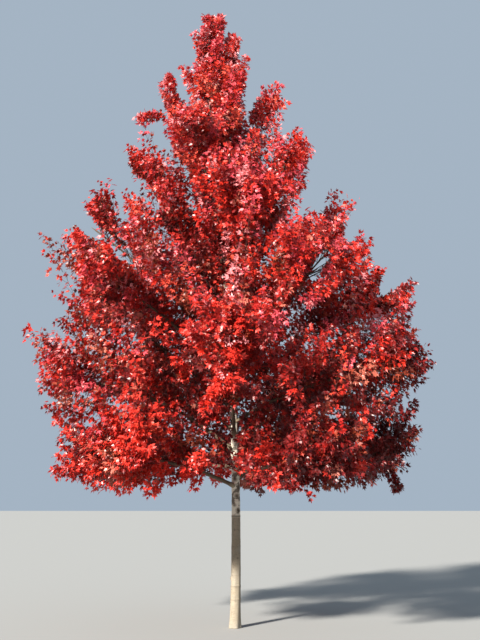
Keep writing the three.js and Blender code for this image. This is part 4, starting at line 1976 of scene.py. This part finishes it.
@dataclass
class Canopy:
    """All the foliage: twigs and leaves of every mass, dealt out into tints by spray."""

    grower: Grower
    foliage: Foliage
    leaf_stock: LeafStock
    twig_stock: TwigStock = field(default_factory=TwigStock)
    outer_middle: float = 0.6
    # Where the painted sunlight and the painted shade of the tints set in
    sunny_start: float = 0.5
    shade_start: float = -0.4
    edge_start: float = 0.6
    edge_shade: float = 0.9
    least_weight: float = 0.03
    shoot_radii: tuple[float, ...] = (0.0055, 0.005, 0.003)
    spray_radii: tuple[float, ...] = (0.0036, 0.003, 0.0022, 0.001)
    side_radii: tuple[float, ...] = (0.0022, 0.0017, 0.001)

    def deal_tints(self, twigs: Twigs) -> None:
        """Deals a tint to each twig by its place in the crown.

        Args:
            twigs: The twigs, whose tints are filled in.
        """
        crown, random = self.grower.crown, self.grower.random
        away, bearing = crown.aside(twigs.tip)
        outer = away / crown.reach(twigs.tip[:, 2], bearing)
        right = twigs.tip[:, 0] / (crown.spread / 2)
        high = (twigs.tip[:, 2] - crown.widest_height) / crown.widest_height
        # Painted light in the tints: sunny brightens the upper right, shade darkens the low right and the
        # right edge
        sunny = right * (self.sunny_start + high)
        shade = np.maximum(right - self.shade_start, 0) * np.maximum(-high, 0)
        shade = shade + np.maximum(right - self.edge_start, 0) * self.edge_shade
        gauges = np.stack([np.ones(len(twigs)), outer - self.outer_middle, sunny, high, shade], axis=1)
        slopes = np.array([astuple(tint.place) for tint in Tint])
        weights = np.maximum(gauges @ slopes.T, self.least_weight)
        totals = np.cumsum(weights, axis=1)
        draw = random.uniform(0, 1, (len(twigs), 1)) * totals[:, -1:]
        twigs.tint[:] = (draw > totals).sum(axis=1)

    def stray_tints(self, tint: np.ndarray) -> np.ndarray:
        """Moves a few tints on to a neighbouring one.

        Args:
            tint: The number of each twig's tint.

        Returns:
            The new numbers.
        """
        random = self.grower.random
        step = random.choice([-1, 1], len(tint)) * (random.uniform(0, 1, len(tint)) < self.foliage.tint_stray)
        return np.clip(tint + step, 0, len(Tint) - 1)

    def grow(self) -> None:
        """Grows everything and joins it into pieces."""
        grower, foliage = self.grower, self.foliage
        shoots, sprays = grower.first_generation()
        shoots = grower.shoots_as_twigs(shoots)
        more = self.finer_by_spray(shoots, foliage.between)
        risers = self.finer_by_spray(grower.limbs_as_twigs(), foliage.riser)
        inner = self.finer_by_spray(grower.trunk_as_twigs(), foliage.inner)
        risers = Twigs.together([risers, inner])
        plumes = self.finer_by_spray(risers, foliage.plume)
        counts = len(shoots), len(sprays), len(more), len(risers), len(plumes)
        LOG.info("%d shoots, %d sprays of the source's rule, %d between, %d risers, %d plumes", *counts)
        sprays = Twigs.together([sprays, more])
        whips = grower.whips()
        for twigs in (sprays, risers, plumes, whips):
            self.deal_tints(twigs)
        sides = grower.finer(sprays, foliage.side, sprays.span() * foliage.side.length)
        sides.tint = self.stray_tints(sides.tint)
        sides = Twigs.together([sides, plumes])
        whip_sides = grower.finer(whips, foliage.whip_side, whips.span() * foliage.whip_side.length)
        self.deal_tints(whip_sides)
        self.build_twigs([shoots, risers], [sprays, whips], [sides, whip_sides])
        dressings = (
            (sprays, foliage.spray_leaves),
            (risers, foliage.riser_leaves),
            (sides, foliage.side_leaves),
            (whips, foliage.whip_leaves),
            (whip_sides, foliage.whip_side_leaves),
        )
        leaves = Leaves.together([self.leaves_on(twigs, level) for twigs, level in dressings])
        LOG.info("%d side twigs, %d leaves", len(sides), len(leaves.root))
        self.build_leaves(leaves)

    def finer_by_spray(self, twigs: Twigs, level: TwigLevel) -> Twigs:
        """Returns finer twigs whose length comes from the length of a spray in their tier."""
        return self.grower.finer(twigs, level, self.grower.sprays[twigs.owner] * level.length)

    def leaves_on(self, twigs: Twigs, level: LeafLevel) -> Leaves:
        """Sets leaves along twigs.

        Args:
            twigs: The twigs to dress.
            level: How the leaves stand on them.

        Returns:
            The leaves that keep to the crown's outline and out of its gaps.
        """
        random = self.grower.random
        leaves = self.leaf_stock.along_twigs(twigs, level, random)
        ragged = random.normal(0, self.foliage.ragged, leaves.root.shape)
        tips = leaves.tips(self.foliage.petiole) + (0 if level.edge is None else ragged)
        return leaves.kept(self.grower.open_to(tips, level.edge, self.foliage.leaf_box_room))

    def build_twigs(self, shoots: list[Twigs], sprays: list[Twigs], sides: list[Twigs]) -> None:
        """Builds all the twigs as one piece.

        Args:
            shoots: The sets of twigs as thick as a shoot.
            sprays: The sets as thick as a spray's twig.
            sides: The sets as thick as a side twig.
        """
        stock, parts = self.twig_stock, []
        kinds = (shoots, self.shoot_radii), (sprays, self.spray_radii), (sides, self.side_radii)
        for sets, radii in kinds:
            parts.append(stock.stems(Twigs.together(sets).line(len(radii)), np.array(radii)))
        piece = stock.build("twigs", parts)
        dressed(piece, stock.finish.material(), self.mass_nodes())

    def build_leaves(self, leaves: Leaves) -> None:
        """Builds the leaves of each tint as one piece.

        Args:
            leaves: All the leaves.
        """
        for number, tint in enumerate(Tint):
            piece = self.leaf_stock.build(f"leaves_{tint.name.lower()}", leaves.kept(leaves.tint == number))
            dressed(piece, tint.finish.material(), self.mass_nodes())

    def mass_nodes(self) -> list[str]:
        """Returns the names of the solids of all the masses."""
        return [f"foliage_{limb.name}" for limb in self.grower.limbs]


@dataclass
class Studio:
    """The floor, the light and the camera."""

    floor_size: float = 120
    floor_colour: tuple[float, float, float] = (0.3, 0.3, 0.292)
    sky_colour: tuple[float, float, float, float] = (0.68, 0.83, 1.0, 1.0)
    sky_strength: float = 0.55
    sun_colour: tuple[float, float, float] = (1.0, 0.955, 0.88)
    sun_strength: float = 11.5
    sun_softness: float = 5
    sun_height: float = 28
    sun_bearing: float = 232
    lens: float = 50
    sensor: float = 36
    pitch: float = 10.83

    def build(self) -> None:
        """Sets up the floor, the light and the camera."""
        bpy.ops.object.select_all(action="DESELECT")
        bpy.ops.mesh.primitive_plane_add(size=self.floor_size)
        floor = bpy.context.object
        floor.name = "floor"
        finish = PlainFinish("studio_floor", "", self.floor_colour, 0.85, 0.2)
        floor.data.materials.append(finish.material())
        world = bpy.data.worlds.new("studio")
        bpy.context.scene.world = world
        world.use_nodes = True
        backdrop = world.node_tree.nodes["Background"]
        backdrop.inputs["Color"].default_value = self.sky_colour
        backdrop.inputs["Strength"].default_value = self.sky_strength
        sun = bpy.data.lights.new("sun", "SUN")
        sun.energy = self.sun_strength
        sun.angle = math.radians(self.sun_softness)
        sun.color = self.sun_colour
        holder = bpy.data.objects.new("sun", sun)
        holder.rotation_euler = (math.radians(90 - self.sun_height), 0, math.radians(self.sun_bearing + 90))
        bpy.context.collection.objects.link(holder)
        camera = bpy.data.cameras.new("camera")
        camera.lens, camera.sensor_width = self.lens, self.sensor
        viewer = bpy.data.objects.new("camera", camera)
        viewer.location = VIEWER
        viewer.rotation_euler = (math.radians(90 + self.pitch), 0, 0)
        bpy.context.collection.objects.link(viewer)
        bpy.context.scene.camera = viewer
        bpy.context.scene.view_settings.view_transform = "Standard"


def main() -> None:
    """Builds the tree and the studio."""
    logging.basicConfig(level=logging.INFO, format="%(message)s", stream=sys.stdout)
    crown, foliage = CrownForm(), Foliage()
    grower = Grower(crown, GrowthRule(), foliage)
    trunk = TrunkBark(crown, grower.limbs)
    trunk.dress(trunk.build())
    bark = LimbBark()
    pattern = bark.pattern()
    material = bark.finish.material([], (), crown, trunk.finish.tan)
    for tier in (*TIERS, LEADER):
        limbs = [limb for limb in grower.limbs if limb.tier is tier]
        piece = bark.build(tier.name, limbs, pattern, crown)
        nodes = [f"bough_{limb.name}" for limb in limbs if limb.bare]
        nodes += [f"foliage_{limb.name}" for limb in limbs]
        dressed(piece, material, nodes)
    bpy.data.objects.remove(pattern)
    Canopy(grower, foliage, LeafStock(foliage)).grow()
    Studio().build()


if __name__ == "__main__":
    main()
